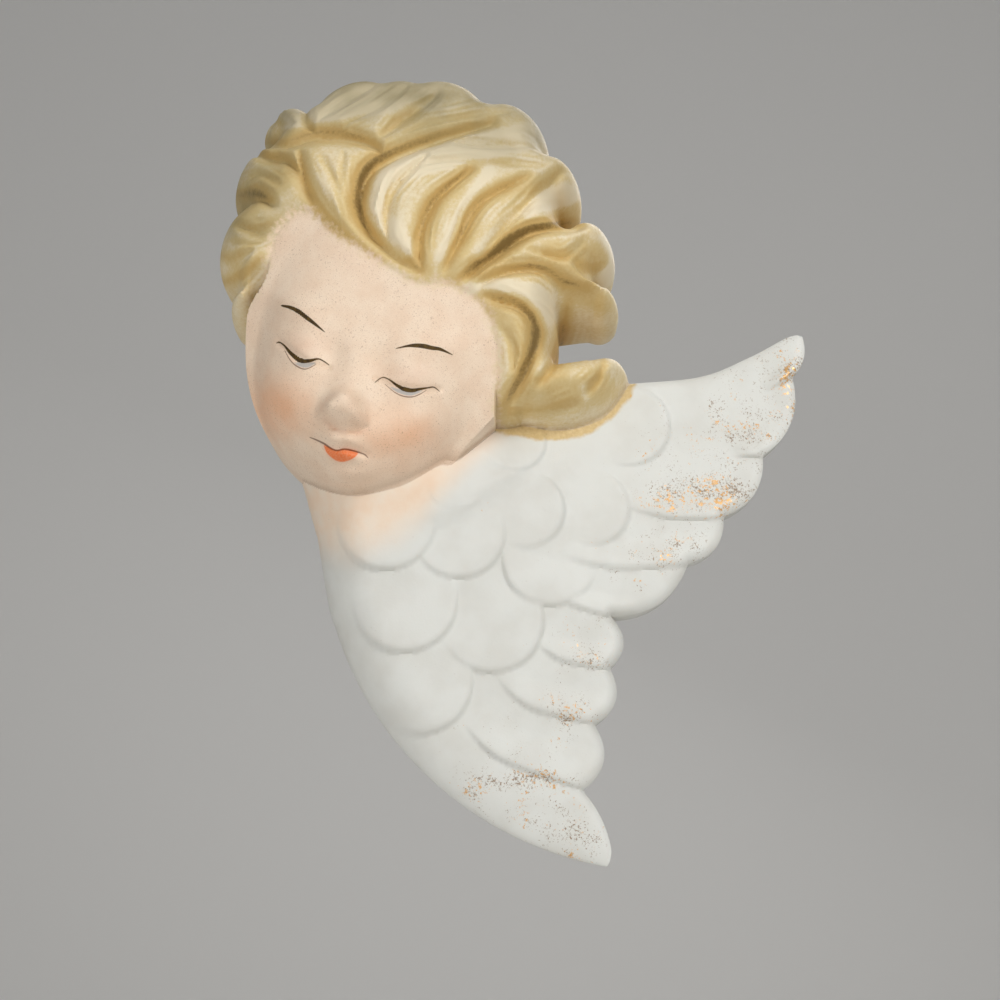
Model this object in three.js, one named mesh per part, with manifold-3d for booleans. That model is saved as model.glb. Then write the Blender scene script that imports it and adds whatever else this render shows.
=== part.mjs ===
import * as THREE from "three";
import Module from "manifold-3d";

// A bisque porcelain wall plaque: a sleeping cherub head between two swept wings, cast in one piece.
// Millimetres, +Z up. The flat back lies at y = 0 and the relief stands out toward -Y.
// The origin is the middle of the flat back, where the plaque rests against its wall.

// Driving sizes
const plaqueHeight = 124.6; // lowest feather tip to the crown of the hair
const reliefDepth = 30.1; // flat back to the tip of the nose
const rimDepth = 3; // height of the parting line all round, above the flat back
const backRound = 0.8; // how far the flat back is drawn in from the parting line
const hangingHoleDiameter = 8;
const hangingHoleDepth = 6;
const hangingHoleX = -3; // over the centre of weight, so that the plaque hangs as drawn
const hangingHoleZ = 17;
const hangingHoleSides = 24;
const meshStep = 1.65; // spacing of the relief's surface points
const faceStep = 1.05; // closer spacing over the face

// The figure is laid out in carver's units: so many of them make its height and its greatest depth.
const figureHeight = 124.6;
const figureDepth = 30.1;
const unit = plaqueHeight / figureHeight;
const depthUnit = reliefDepth / figureDepth;
const rim = rimDepth / depthUnit;

// The layout is drawn as one eye sees the figure, on a drawing plane at a stated depth.
// seen() gives the place on that plane where a surface point at its own depth appears.
const eye = { x: 7.7, depth: 239, z: -79.8 };
function seen(x, z, depth, plane) {
  const spread = (eye.depth - plane) / (eye.depth - depth);
  return [eye.x + (x - eye.x) * spread, eye.z + (z - eye.z) * spread];
}
const hairPlane = 20;
const facePlane = 22;
const wingPlane = 8;

// Small shaping helpers
function clamp01(t) {
  return Math.min(1, Math.max(0, t));
}
function smoothStep(from, to, v) {
  const t = clamp01((v - from) / (to - from));
  return t * t * (3 - 2 * t);
}
function quarterRound(t) {
  const u = 1 - clamp01(t);
  return Math.sqrt(1 - u * u);
}
function softMax(a, b, blend) {
  const h = clamp01(0.5 + (0.5 * (a - b)) / blend);
  return b + (a - b) * h + blend * h * (1 - h);
}
function bump(x, z, cx, cz, rx, rz, turn = 0) {
  const dx = x - cx;
  const dz = z - cz;
  const u = (dx * Math.cos(turn) + dz * Math.sin(turn)) / rx;
  const v = (dz * Math.cos(turn) - dx * Math.sin(turn)) / rz;
  return Math.exp(-u * u - v * v);
}

// A knob is rounder on top and steeper at its sides than a bump.
function knob(x, z, cx, cz, rx, rz) {
  return Math.exp(-(Math.hypot((x - cx) / rx, (z - cz) / rz) ** 2.6));
}

// A stroke is a smooth curve through a few points, with a half width that tapers between its ends.
const samplesPerSpan = 4;
function smoothLine(points, count) {
  return new THREE.SplineCurve(points.map(([x, z]) => new THREE.Vector2(x, z))).getPoints(count);
}
function stroke(points, halfWidths) {
  const count = samplesPerSpan * (points.length - 1);
  const line = smoothLine(points, count);
  const widths = line.map((_, i) => {
    const at = (i / count) * (halfWidths.length - 1);
    const low = Math.min(Math.floor(at), halfWidths.length - 2);
    return halfWidths[low] + (halfWidths[low + 1] - halfWidths[low]) * (at - low);
  });
  return { line, widths };
}
// The nearest place on a stroke: how far inside its width, how far along, which side, and how far away
function along({ line, widths }, x, z) {
  let best = { inside: -Infinity, t: 0, side: 0, away: Infinity };
  for (let i = 0; i + 1 < line.length; i++) {
    const a = line[i];
    const b = line[i + 1];
    const ux = b.x - a.x;
    const uz = b.y - a.y;
    const s = clamp01(((x - a.x) * ux + (z - a.y) * uz) / (ux * ux + uz * uz));
    const away = Math.hypot(x - a.x - ux * s, z - a.y - uz * s);
    const half = widths[i] + (widths[i + 1] - widths[i]) * s;
    if (half - away > best.inside) {
      const side = Math.sign(ux * (z - a.y) - uz * (x - a.x));
      best = { inside: half - away, t: (i + s) / (line.length - 1), side, away };
    }
  }
  return best;
}

// How far in from a closed curve a point is, negative outside it
function insideRing(ring, x, z) {
  let nearest = Infinity;
  let inside = false;
  for (let i = 0; i + 1 < ring.length; i++) {
    const a = ring[i];
    const b = ring[i + 1];
    const ux = b.x - a.x;
    const uz = b.y - a.y;
    const s = clamp01(((x - a.x) * ux + (z - a.y) * uz) / (ux * ux + uz * uz || 1));
    nearest = Math.min(nearest, Math.hypot(x - a.x - ux * s, z - a.y - uz * s));
    if (a.y > z !== b.y > z && x < a.x + (ux * (z - a.y)) / uz) {
      inside = !inside;
    }
  }
  return inside ? nearest : -nearest;
}

// Hair: a round mass with a lobe for each curl that breaks its outline
const hairMass = { x: -6, z: 10, r: 23.5 };
const hairLobes = [
  { x: -30.5, z: 0.6, r: 3.2 }, { x: -28.5, z: 9.3, r: 7.5 }, { x: -27, z: 20.5, r: 7.1 },
  { x: -25.7, z: 31.5, r: 4.4 }, { x: -14, z: 29.5, r: 8.7 }, { x: -1.5, z: 28, r: 9.2 },
  { x: 8.5, z: 26, r: 7.2 }, { x: 15.4, z: 18.9, r: 5.2 }, { x: 20.9, z: 8.9, r: 4.8 },
  { x: 23.2, z: 1, r: 2.9 }, { x: 16.2, z: 4.5, r: 5.5 }, { x: -21, z: 26.5, r: 6.2 },
  { x: -7.7, z: 28.8, r: 8.6 },
];
const hairTails = [
  stroke([[6, -4], [7, -10], [8, -13.4]], [11, 9, 4.5]),
  stroke([[12, 2], [19, 1.8], [23.8, 1]], [5, 3.6, 2.2]),
  stroke([[5, -11.6], [10, -12.2], [16, -13.2], [21, -12], [24.4, -9.6]], [6, 5.6, 5.2, 4.8, 3.2]),
];
const hairOutlineDepth = 11;
const hairEdge = 5.5; // width of the rounding round the outline of the hair
const lockRise = 2.6; // how far the hair stands over the skull
function insideLocks(u, v) {
  let inside = hairMass.r - Math.hypot(u - hairMass.x, v - hairMass.z);
  for (const lobe of hairLobes) {
    inside = Math.max(inside, lobe.r - Math.hypot(u - lobe.x, v - lobe.z));
  }
  for (const tail of hairTails) {
    inside = Math.max(inside, along(tail, u, v).inside);
  }
  return inside;
}
function insideHair(x, z) {
  return insideLocks(...seen(x, z, hairOutlineDepth, hairPlane));
}

// Points round the edge of the hair, kept from circles on every lobe and along every tail
const edgeSpacing = 0.5;
const onEdge = 0.05;
function hairEdgePoints() {
  const circlesOf = ({ line, widths }) => line.map((p, i) => ({ x: p.x, z: p.y, r: widths[i] }));
  const tailCircles = hairTails.flatMap(circlesOf);
  const points = [];
  for (const circle of [hairMass, ...hairLobes, ...tailCircles]) {
    for (let turn = 0; turn < 2 * Math.PI; turn += edgeSpacing / circle.r) {
      const u = circle.x + circle.r * Math.cos(turn);
      const v = circle.z + circle.r * Math.sin(turn);
      if (insideLocks(u, v) < onEdge) {
        points.push([u, v]);
      }
    }
  }
  return points;
}
const hairEdgeLine = hairEdgePoints();

// The true distance in from the edge of the hair; negative outside it
function hairMargin(x, z) {
  const [u, v] = seen(x, z, hairOutlineDepth, hairPlane);
  const margin = insideLocks(u, v);
  if (margin <= 0 || margin > hairEdge) {
    return margin;
  }
  const nearest = Math.min(...hairEdgeLine.map(([eu, ev]) => (u - eu) ** 2 + (v - ev) ** 2));
  return Math.max(margin, Math.sqrt(Math.max(0, nearest - (edgeSpacing / 2) ** 2)));
}

// Grooves between the locks: path, half width, depth
const grooves = [
  [[[6.4, 31.5], [-3.1, 28.6], [-11.9, 24.5], [-14.1, 19.4], [-13.1, 14.9], [-8.5, 9.6], [-4.6, 7]], 4, 3.4],
  [[[-29, 28.2], [-25.5, 28], [-20.5, 29.6], [-13.2, 28.4], [-10, 26]], 3.4, 2.6],
  [[[-23, 35], [-22.6, 31.5], [-20, 29.6]], 2.6, 2],
  [[[-2.3, 36.2], [-6.9, 33], [-10.7, 29.4]], 3.2, 2],
  [[[-23.5, 26.6], [-22.4, 21.5], [-19.5, 15.6], [-13.4, 10.4], [-9.5, 8.2]], 3.4, 2.4],
  [[[-3.9, 25.9], [-9, 20], [-9.8, 13.4], [-7.4, 8.6]], 2.4, 1.7],
  [[[3.3, 23.6], [-2.6, 18.4], [-4.8, 12.3], [-4.4, 7.6]], 3, 2],
  [[[12, 22.5], [4.5, 18], [1.2, 11.6], [-1, 7]], 2.8, 1.8],
  [[[20, 14.4], [12.2, 13.4], [6.2, 9.2], [1.6, 5.4]], 3.2, 2.8],
  [[[13.7, 27.6], [6.5, 27.9], [0.3, 28.1]], 2.2, 1.2],
  [[[4.4, 5], [9.6, 7.2], [13.9, 7.2], [18, 4.8], [22.5, 4.1]], 3, 2.6],
  [[[5.1, 3.2], [11.2, 0.8], [13.2, -3.4], [11.4, -9], [8.4, -14.5]], 3, 2.6],
  [[[18.2, 2.2], [17.2, -2.6], [15.6, -7.8], [13.6, -11]], 2.8, 2],
  [[[-34.5, 18.8], [-30.2, 19.4], [-27.3, 17.9]], 3, 2.6],
  [[[-36, 9.6], [-33.3, 8.8], [-30.4, 10.6]], 2.2, 1.6],
  [[[-34.6, 4.6], [-31.7, 6], [-28.6, 9]], 2.6, 2.2],
  [[[-31.5, 27.6], [-28.4, 25.8], [-25.4, 25.2], [-23, 22.6]], 3, 2.4],
  [[[-32.6, 14.2], [-29.4, 13.6], [-27, 14.8]], 2.4, 1.6],
  [[[18, 24.2], [14, 20.5], [9.5, 15.5], [5.3, 10]], 2.8, 1.8],
  [[[24, 8], [21.4, 7], [19.4, 8.6], [20.6, 10.6]], 1.9, 1.4],
  [[[12, 10.4], [17.4, 9.2], [20.6, 12]], 2, 1.2],
  [[[20.6, -12.6], [22.6, -10], [23.4, -7.6]], 1.8, 1.3],
  [[[8, -15.6], [14.5, -15.2], [19.4, -14]], 2, 1.3],
  [[[7.4, -1.6], [9.6, -5], [9.8, -9.4]], 2, 1.1],
].map(([path, half, depth]) => ({ line: stroke(path, [half * 0.5, half, half * 0.5]), half, depth }));
function grooveDepth(u, v) {
  let deepest = 0;
  for (const groove of grooves) {
    const near = along(groove.line, u, v);
    if (near.inside > 0) {
      const ends = Math.sqrt(Math.sin(Math.PI * (0.06 + 0.88 * near.t)));
      const across = near.away / (near.away + near.inside);
      deepest = Math.max(deepest, groove.depth * ends * (1 - Math.sin((Math.PI / 2) * across)));
    }
  }
  return deepest;
}

// The opening of the hair round the face; the closed curve runs on below the chin
const openingPoints = [
  [-31.5, -2.5], [-27.7, 5], [-26.3, 11.7], [-22, 15.6], [-17.6, 11.7], [-11.4, 7.9], [-5.1, 3.8],
  [-0.3, 3.6], [5, 0.2], [7.2, -7.2], [6.9, -16.3], [9, -24], [-10, -40], [-38, -30], [-37, -6],
  [-31.5, -2.5],
];
const faceOpening = smoothLine(openingPoints, openingPoints.length * samplesPerSpan);
const openingRound = 4.5; // width of the slope where the hair rises round the face
const grooveFade = 3; // width over which the grooves run out at the opening

// The head under hair and skin: a face dome and a crown dome, each with its own reach on each side
const faceDome = {
  x: -12.9, z: -6, left: 18.4, right: 24, up: 30, down: 22.8, downLeft: 20.2, downRight: 17.8,
  floor: 4, rise: 22.5,
};
const crownDome = {
  x: -4, z: 9, left: 37, right: 36, up: 39, down: 36, downLeft: 36, downRight: 36,
  floor: 4, rise: 22,
};
const faceFullness = 3;
const faceShoulder = 0.45;
const domeBlend = 2;
const faceTuck = 4; // how far the face's outline runs on under the hair
function domeRadius(dome, x, z) {
  const dx = x - dome.x;
  const dz = z - dome.z;
  const lessLeft = (dome.down - dome.downLeft) * smoothStep(0, 12, -dx);
  const lessRight = (dome.down - dome.downRight) * smoothStep(5, 20, dx);
  const down = dome.down - lessLeft - lessRight;
  return Math.hypot(dx / (dx < 0 ? dome.left : dome.right), dz / (dz < 0 ? down : dome.up));
}
function skullDepth(x, z) {
  const fr = Math.min(1, domeRadius(faceDome, x, z));
  const face = faceDome.floor + faceDome.rise * (1 - fr ** faceFullness) ** faceShoulder;
  const cr = Math.min(1, domeRadius(crownDome, x, z));
  const crown = crownDome.floor + crownDome.rise * Math.sqrt(1 - cr * cr);
  return softMax(face, crown, domeBlend);
}

// Features of the sleeping face, as drawn on the face plane
const leftEye = { x: -21.6, z: -7.3, tilt: -0.42, half: 4.1 };
const rightEye = { x: -6, z: -11.9, tilt: -0.14, half: 4.8 };
const noseCrease = stroke(
  [[-18.4, -17.4], [-16.9, -18.8], [-15.1, -19.5], [-13.2, -19.6], [-11.6, -18.9]],
  [0.2, 0.45, 0.4, 0.45, 0.2],
);
const mouthLine = stroke([[-20.2, -20.3], [-17, -22.2], [-15.2, -22.3], [-11.9, -23.2]], [0.9, 1.6, 0.9]);
const lashLines = [leftEye, rightEye].map(({ x, z, tilt, half }) => {
  const dx = Math.cos(tilt) * half;
  const dz = Math.sin(tilt) * half;
  return stroke([[x - dx, z - dz + 0.2], [x, z - 1.2], [x + dx, z + dz - 0.3]], [0.7, 0.9, 0.7]);
});
function faceRelief(u, v) {
  let h = 0;
  for (const { x, z, tilt, half } of [leftEye, rightEye]) {
    h -= 1.1 * bump(u, v, x, z + 0.6, half * 1.5, 4.2, tilt);
    h += 1.9 * bump(u, v, x, z + 0.7, half * 0.95, 2.9, tilt);
  }
  h -= 1.2 * bump(u, v, -17.4, -7.4, 2.4, 3.2) + 1.2 * bump(u, v, -10.6, -9.6, 2.6, 3.2);
  h += 0.7 * bump(u, v, -22, -0.8, 5, 2, -0.5) + 0.7 * bump(u, v, -3.5, -6.2, 5.5, 2.2, -0.1);
  for (const line of lashLines) {
    const near = along(line, u, v);
    h -= 0.5 * clamp01(near.inside * 1.6);
  }
  h += 0.7 * bump(u, v, -13.6, -9, 2.4, 4) + 1.3 * bump(u, v, -14.5, -12.8, 2.4, 3);
  h += 3.9 * knob(u, v, -15.2, -16.2, 2.6, 2.5);
  h += 1.2 * knob(u, v, -17.6, -16.9, 1.3, 1.3) + 1.2 * knob(u, v, -12.9, -17.8, 1.3, 1.3);
  h -= 0.5 * bump(u, v, -16.6, -18.9, 0.9, 0.6) + 0.5 * bump(u, v, -13.8, -19.2, 0.9, 0.6);
  h -= 0.5 * smoothStep(-0.3, 0.4, along(noseCrease, u, v).inside);
  h += 1.8 * bump(u, v, -15.6, -21, 5, 3) - 0.35 * bump(u, v, -15.4, -20, 0.7, 1.1);
  h -= 0.8 * smoothStep(0, 1.5, along(mouthLine, u, v).inside);
  h += 0.5 * bump(u, v, -16.9, -21.2, 1.6, 0.8, -0.4) + 0.5 * bump(u, v, -14.3, -21.4, 1.6, 0.8, -0.1);
  h += bump(u, v, -15.5, -23.4, 2.3, 1, -0.1) - 0.8 * bump(u, v, -15.2, -25, 2.6, 0.9, -0.1);
  h += 2.4 * bump(u, v, -14.6, -26, 4.4, 2.4);
  h += 1.1 * bump(u, v, -24.2, -15.8, 5, 5.5) + 1.6 * bump(u, v, -4.6, -19.6, 7.2, 5.6);
  return h;
}

// Wings: the top edge, then one arc per feather tip between neighbouring notches, each with its bulge
const wingTop = [[14, -9], [30, -7.6], [40, -6.3], [48, -2.8], [53.5, 0.2], [55.8, 0.6]];
const tipArcs = [
  { x: 54, z: -6.5, bulge: 1.1 }, { x: 48.8, z: -19.4, bulge: 2.3 }, { x: 42.3, z: -29.2, bulge: 2.1 },
  { x: 36.6, z: -36.6, bulge: 1.9 }, { x: 24.6, z: -45, bulge: 2.5 }, { x: 24.3, z: -52.8, bulge: 2 },
  { x: 21.9, z: -61.2, bulge: 2.1 }, { x: 20, z: -70.8, bulge: 2.3 }, { x: 24.2, z: -79.5, bulge: 0.7 },
  { x: 22.5, z: -84, bulge: 0.3 },
];
const tipArcSteps = 8;
const farSide = [[-45, -84], [-45, -5]]; // beyond the outer sweep, which bounds the wings there
function wingOutline() {
  const ring = smoothLine(wingTop, samplesPerSpan * wingTop.length);
  for (const { x, z, bulge } of tipArcs) {
    const from = ring.at(-1);
    const cx = x - from.x;
    const cz = z - from.y;
    const length = Math.hypot(cx, cz);
    for (let i = 1; i <= tipArcSteps; i++) {
      const t = i / tipArcSteps;
      const out = (4 * bulge * t * (1 - t)) / length;
      ring.push(new THREE.Vector2(from.x + cx * t - cz * out, from.y + cz * t + cx * out));
    }
  }
  for (const [x, z] of farSide) {
    ring.push(new THREE.Vector2(x, z));
  }
  return [...ring, ring[0]];
}
const wingRing = wingOutline();

// Lines where a feather's lower edge lies over the next one: path from root to notch, reach of its rise
const featherLines = [
  [[[49.5, -9.2], [54.5, -6.2]], 3],
  [[[44, -19.6], [50, -19.6]], 4],
  [[[26, -27.2], [34.4, -29.6], [43.5, -29.3]], 7],
  [[[14, -34.4], [25, -37.4], [38, -36.7]], 6],
  [[[14, -41], [20, -43.6], [26, -45.2]], 4],
  [[[12.5, -48], [17, -51.6], [25.5, -53]], 5],
  [[[6, -52.8], [12, -58.6], [23, -61.3]], 6],
  [[[1.4, -60], [7.5, -66.2], [21, -71]], 7],
].map(([path, reach]) => stroke(path, [reach * 0.7, reach]));
const coverts = [
  { x: -4.4, z: -54.6, r: 8, toward: -1.2 }, { x: 6.5, z: -45.4, r: 8, toward: -0.9 },
  { x: 15.4, z: -35.8, r: 7.4, toward: -2 }, { x: -6.9, z: -42.1, r: 8.2, toward: -1.3 },
  { x: 28, z: -14.5, r: 6.5, toward: -0.2 }, { x: 21.9, z: -27.8, r: 6, toward: -0.5 },
  { x: 11.5, z: -28, r: 6.3, toward: -0.7 }, { x: 1.5, z: -31.7, r: 7.2, toward: -1.1 },
  { x: -9.9, z: -29.8, r: 7.8, toward: -1.5 }, { x: 10, z: -17, r: 5, toward: -1.1 },
  { x: 1, z: -24, r: 4.5, toward: -1.3 },
];
// Low soft folds below the jaw: middle, reach and turn
const wingFolds = [
  [3.5, -25.5, 5, 2.2, 0.6], [-1.5, -28.5, 4, 1.6, 0.5], [9, -22.5, 4, 1.5, 0.5], [12, -33, 9, 3, -0.4],
];
const foldRise = 0.35;
const outerSweep = { x: 32.5, z: -30.1, r: 52.5 };
const neck = stroke([[-12.2, -16], [-10.6, -30], [-9.5, -42]], [13, 10.2, 9]);
const wingOutlineDepth = 4;
const featherStep = 0.9; // how far a feather's lower edge stands over the next one
const covertStep = 1; // how far a covert of the full radius stands over the next one
const fullCovert = 8;
const covertRound = 1; // width of the rounding at a covert's edge
const sweepEdge = 8; // width of the rounding along the outer sweep and the neck
const tipEdge = 2.2; // width of the rounding round the feather tips

function wingSwell(x, z) {
  const u = (x + 4) / 31;
  const v = (z + 32) / 33;
  return 4.2 + 8.8 * Math.exp(-u * u - v * v) + 4.8 * bump(x, z, -9, -22, 15, 10);
}
// How far in from the feather tips and how far in from the outer sweep, with the neck filled in
function wingMargins(x, z) {
  const [u, v] = seen(x, z, wingOutlineDepth, wingPlane);
  const inNeck = along(neck, u, v).inside;
  const tips = Math.max(inNeck, insideRing(wingRing, u, v));
  const sweep = Math.max(inNeck, outerSweep.r - Math.hypot(u - outerSweep.x, v - outerSweep.z));
  return { tips, sweep };
}
function wingDepth(x, z) {
  const swell = wingSwell(x, z);
  const [u, v] = seen(x, z, swell, wingPlane);
  let lift = 0;
  for (const fold of wingFolds) {
    lift += foldRise * bump(u, v, ...fold);
  }
  for (const line of featherLines) {
    const { inside, side, t, away } = along(line, u, v);
    if (inside > 0 && side > 0) {
      const fall = 1 - smoothStep(0.1, 1, away / (away + inside));
      lift = Math.max(lift, featherStep * quarterRound(away) * fall * smoothStep(0, 0.5, t));
    }
  }
  for (const { x: cx, z: cz, r, toward } of coverts) {
    const inside = r - Math.hypot(u - cx, v - cz);
    if (inside > 0) {
      const forward = ((u - cx) * Math.cos(toward) + (v - cz) * Math.sin(toward)) / r;
      const rise = smoothStep(-0.5, 0.9, forward) * quarterRound(inside / covertRound);
      lift = Math.max(lift, ((covertStep * r) / fullCovert) * rise);
    }
  }
  const { tips, sweep } = wingMargins(x, z);
  const rounding = quarterRound(sweep / sweepEdge) * quarterRound(0.15 + tips / tipEdge);
  return rim + (swell + lift - rim) * rounding;
}

// The head: skin inside the opening, raised and grooved locks outside it
function headDepth(x, z) {
  const skull = skullDepth(x, z);
  const [fu, fv] = seen(x, z, skull, facePlane);
  const [hu, hv] = seen(x, z, skull + lockRise, hairPlane);
  const opened = insideRing(faceOpening, fu, fv);
  if (opened > 0) {
    return domeRadius(faceDome, x, z) < 1 ? skull + faceRelief(fu, fv) : 0;
  }
  const margin = hairMargin(x, z);
  if (margin <= 0) {
    return 0;
  }
  const groove = grooveDepth(hu, hv) * smoothStep(0, grooveFade, -opened);
  const rise = lockRise * Math.sin((Math.PI / 2) * clamp01(-opened / openingRound));
  const locks = skull + rise - groove;
  return rim + (locks - rim) * quarterRound(margin / hairEdge);
}
function insideFigure(x, z) {
  const [u, v] = seen(x, z, hairOutlineDepth, facePlane);
  const face = (1 - domeRadius(faceDome, x, z)) * faceDome.left;
  const skinSide = insideRing(faceOpening, u, v) > -faceTuck ? face : -Infinity;
  const { tips, sweep } = wingMargins(x, z);
  return Math.max(insideHair(x, z), Math.min(tips, sweep), skinSide);
}
function depthAt(x, z) {
  return Math.max(rim, headDepth(x, z), wingDepth(x, z));
}

// Grid lines over the whole figure, closer over the face than elsewhere
const gridX = { from: -50, to: 66, fineFrom: -31, fineTo: 2 };
const gridZ = { from: -94, to: 54, fineFrom: -29, fineTo: 2 };
function gridLines({ from, to, fineFrom, fineTo }) {
  const lines = [from];
  while (lines.at(-1) < to) {
    const at = lines.at(-1);
    const fine = at > fineFrom && at < fineTo;
    lines.push(at + (fine ? faceStep : meshStep) / unit);
  }
  return lines;
}

// A point near the outline, moved onto it along the slope of its margin
const slopeStep = 0.05;
function ontoOutline(x, z) {
  let at = [x, z];
  for (let k = 0; k < 5; k++) {
    const [px, pz] = at;
    const margin = insideFigure(px, pz);
    const gx = (insideFigure(px + slopeStep, pz) - insideFigure(px - slopeStep, pz)) / (2 * slopeStep);
    const gz = (insideFigure(px, pz + slopeStep) - insideFigure(px, pz - slopeStep)) / (2 * slopeStep);
    const steepness = gx * gx + gz * gz || 1;
    at = [px - (margin * gx) / steepness, pz - (margin * gz) / steepness];
  }
  return at;
}

// The place between an inner and an outer point where the outline lies
function crossing(inner, outer) {
  for (let k = 0; k < 24; k++) {
    const middle = [(inner[0] + outer[0]) / 2, (inner[1] + outer[1]) / 2];
    if (insideFigure(...middle) > 0) {
      inner = middle;
    } else {
      outer = middle;
    }
  }
  return inner;
}

// The front: a grid of surface points, those near the outline moved onto it, cut off at the outline
const snapDistance = 0.45; // as a share of the finer spacing
const longestMove = 0.7;
function buildFront() {
  const xs = gridLines(gridX);
  const zs = gridLines(gridZ);
  const points = [];
  const margins = [];
  const index = (i, j) => j * xs.length + i;
  for (const z of zs) {
    for (const x of xs) {
      let at = [x, z];
      let margin = insideFigure(x, z);
      if (Math.abs(margin) < snapDistance * faceStep) {
        const moved = ontoOutline(x, z);
        if (Math.hypot(moved[0] - x, moved[1] - z) < longestMove * faceStep) {
          at = moved;
          margin = 0;
        }
      }
      points.push(at);
      margins.push(margin);
    }
  }
  const cutPoints = new Map();
  const cut = (a, b) => {
    const key = a < b ? `${a},${b}` : `${b},${a}`;
    if (!cutPoints.has(key)) {
      const [inner, outer] = margins[a] > 0 ? [points[a], points[b]] : [points[b], points[a]];
      cutPoints.set(key, points.length);
      points.push(crossing(inner, outer));
      margins.push(0);
    }
    return cutPoints.get(key);
  };
  const triangles = [];
  const addClipped = (corners) => {
    if (corners.every((c) => margins[c] <= 0)) {
      const mx = corners.reduce((sum, c) => sum + points[c][0], 0) / 3;
      const mz = corners.reduce((sum, c) => sum + points[c][1], 0) / 3;
      if (corners.every((c) => margins[c] === 0) && insideFigure(mx, mz) > 0) {
        triangles.push(corners);
      }
      return;
    }
    const kept = [];
    for (let k = 0; k < 3; k++) {
      const a = corners[k];
      const b = corners[(k + 1) % 3];
      if (margins[a] >= 0) {
        kept.push(a);
      }
      if (margins[a] * margins[b] < 0) {
        kept.push(cut(a, b));
      }
    }
    for (let k = 1; k + 1 < kept.length; k++) {
      triangles.push([kept[0], kept[k], kept[k + 1]]);
    }
  };
  const depths = points.map(([x, z]) => depthAt(x, z));
  for (let j = 0; j + 1 < zs.length; j++) {
    for (let i = 0; i + 1 < xs.length; i++) {
      const [a, b, c, d] = [index(i, j), index(i + 1, j), index(i + 1, j + 1), index(i, j + 1)];
      if (Math.abs(depths[a] - depths[c]) < Math.abs(depths[b] - depths[d])) {
        addClipped([a, b, c]);
        addClipped([a, c, d]);
      } else {
        addClipped([a, b, d]);
        addClipped([b, c, d]);
      }
    }
  }
  return { points, triangles };
}

// The free edges of the front, joined into one ring
function rimRing(triangles) {
  const next = new Map();
  const directed = new Set(triangles.flatMap(([a, b, c]) => [`${a},${b}`, `${b},${c}`, `${c},${a}`]));
  for (const edge of directed) {
    const [a, b] = edge.split(",").map(Number);
    if (!directed.has(`${b},${a}`)) {
      next.set(a, b);
    }
  }
  const start = next.keys().next().value;
  const ring = [start];
  for (let at = next.get(start); at !== start; at = next.get(at)) {
    ring.push(at);
  }
  if (ring.length !== next.size) {
    throw new Error(`outline is not one ring: ${ring.length} of ${next.size}`);
  }
  return ring;
}

function casting() {
  const { points, triangles } = buildFront();
  const ring = rimRing(triangles);
  const onRing = new Set(ring);
  const position = points.map(([x, z], i) => {
    const depth = onRing.has(i) ? rim : depthAt(x, z);
    return [x * unit, -depth * depthUnit, z * unit];
  });
  const backStart = position.length;
  const count = ring.length;
  const back = ring.map((at, k) => {
    const before = points[ring[(k + count - 1) % count]];
    const after = points[ring[(k + 1) % count]];
    const tx = after[0] - before[0];
    const tz = after[1] - before[1];
    const length = Math.hypot(tx, tz);
    const [x, z] = points[at];
    return new THREE.Vector2(x * unit - (tz / length) * backRound, z * unit + (tx / length) * backRound);
  });
  for (const p of back) {
    position.push([p.x, 0, p.y]);
  }
  const faces = [...triangles];
  for (let k = 0; k < count; k++) {
    const m = (k + 1) % count;
    faces.push([ring[k], backStart + k, backStart + m], [ring[k], backStart + m, ring[m]]);
  }
  for (const [a, b, c] of THREE.ShapeUtils.triangulateShape(back, [])) {
    faces.push([backStart + a, backStart + c, backStart + b]);
  }
  const used = [...new Set(faces.flat())];
  const renumber = new Map(used.map((old, fresh) => [old, fresh]));
  return {
    vertProperties: new Float32Array(used.flatMap((i) => position[i])),
    triVerts: new Uint32Array(faces.flat().map((i) => renumber.get(i))),
  };
}

const wasm = await Module();
wasm.setup();

function solidOf({ vertProperties, triVerts }) {
  return new wasm.Manifold(new wasm.Mesh({ numProp: 3, vertProperties, triVerts }));
}

function hangingHole() {
  const length = hangingHoleDepth * 2;
  const radius = hangingHoleDiameter / 2;
  const geometry = new THREE.CylinderGeometry(radius, radius, length, hangingHoleSides);
  geometry.translate(hangingHoleX, 0, hangingHoleZ);
  geometry.deleteAttribute("normal");
  geometry.deleteAttribute("uv");
  return solidOf(weld(geometry));
}

function weld(geometry) {
  const source = geometry.toNonIndexed().getAttribute("position");
  const seenAt = new Map();
  const vertProperties = [];
  const triVerts = [];
  for (let i = 0; i < source.count; i++) {
    const p = [source.getX(i), source.getY(i), source.getZ(i)];
    const key = p.map((value) => Math.round(value * 1e4)).join();
    if (!seenAt.has(key)) {
      seenAt.set(key, vertProperties.length / 3);
      vertProperties.push(...p);
    }
    triVerts.push(seenAt.get(key));
  }
  return { vertProperties: new Float32Array(vertProperties), triVerts: new Uint32Array(triVerts) };
}

const bisque = new THREE.MeshStandardMaterial({ color: 0xefe6da, roughness: 0.8, metalness: 0 });

function cherubPlaque() {
  const solid = solidOf(casting()).subtract(hangingHole());
  const { vertProperties, triVerts } = solid.getMesh();
  const geometry = new THREE.BufferGeometry();
  geometry.setAttribute("position", new THREE.BufferAttribute(vertProperties, 3));
  geometry.setIndex(new THREE.BufferAttribute(triVerts, 1));
  geometry.computeVertexNormals();
  const mesh = new THREE.Mesh(geometry, bisque);
  mesh.name = "cherub_plaque";
  return mesh;
}

const group = new THREE.Group();
group.add(cherubPlaque());

export default group;
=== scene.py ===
from math import cos, hypot, pi, radians, sin

import bmesh
import bpy
import numpy as np
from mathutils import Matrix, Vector
from mathutils.geometry import delaunay_2d_cdt


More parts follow.
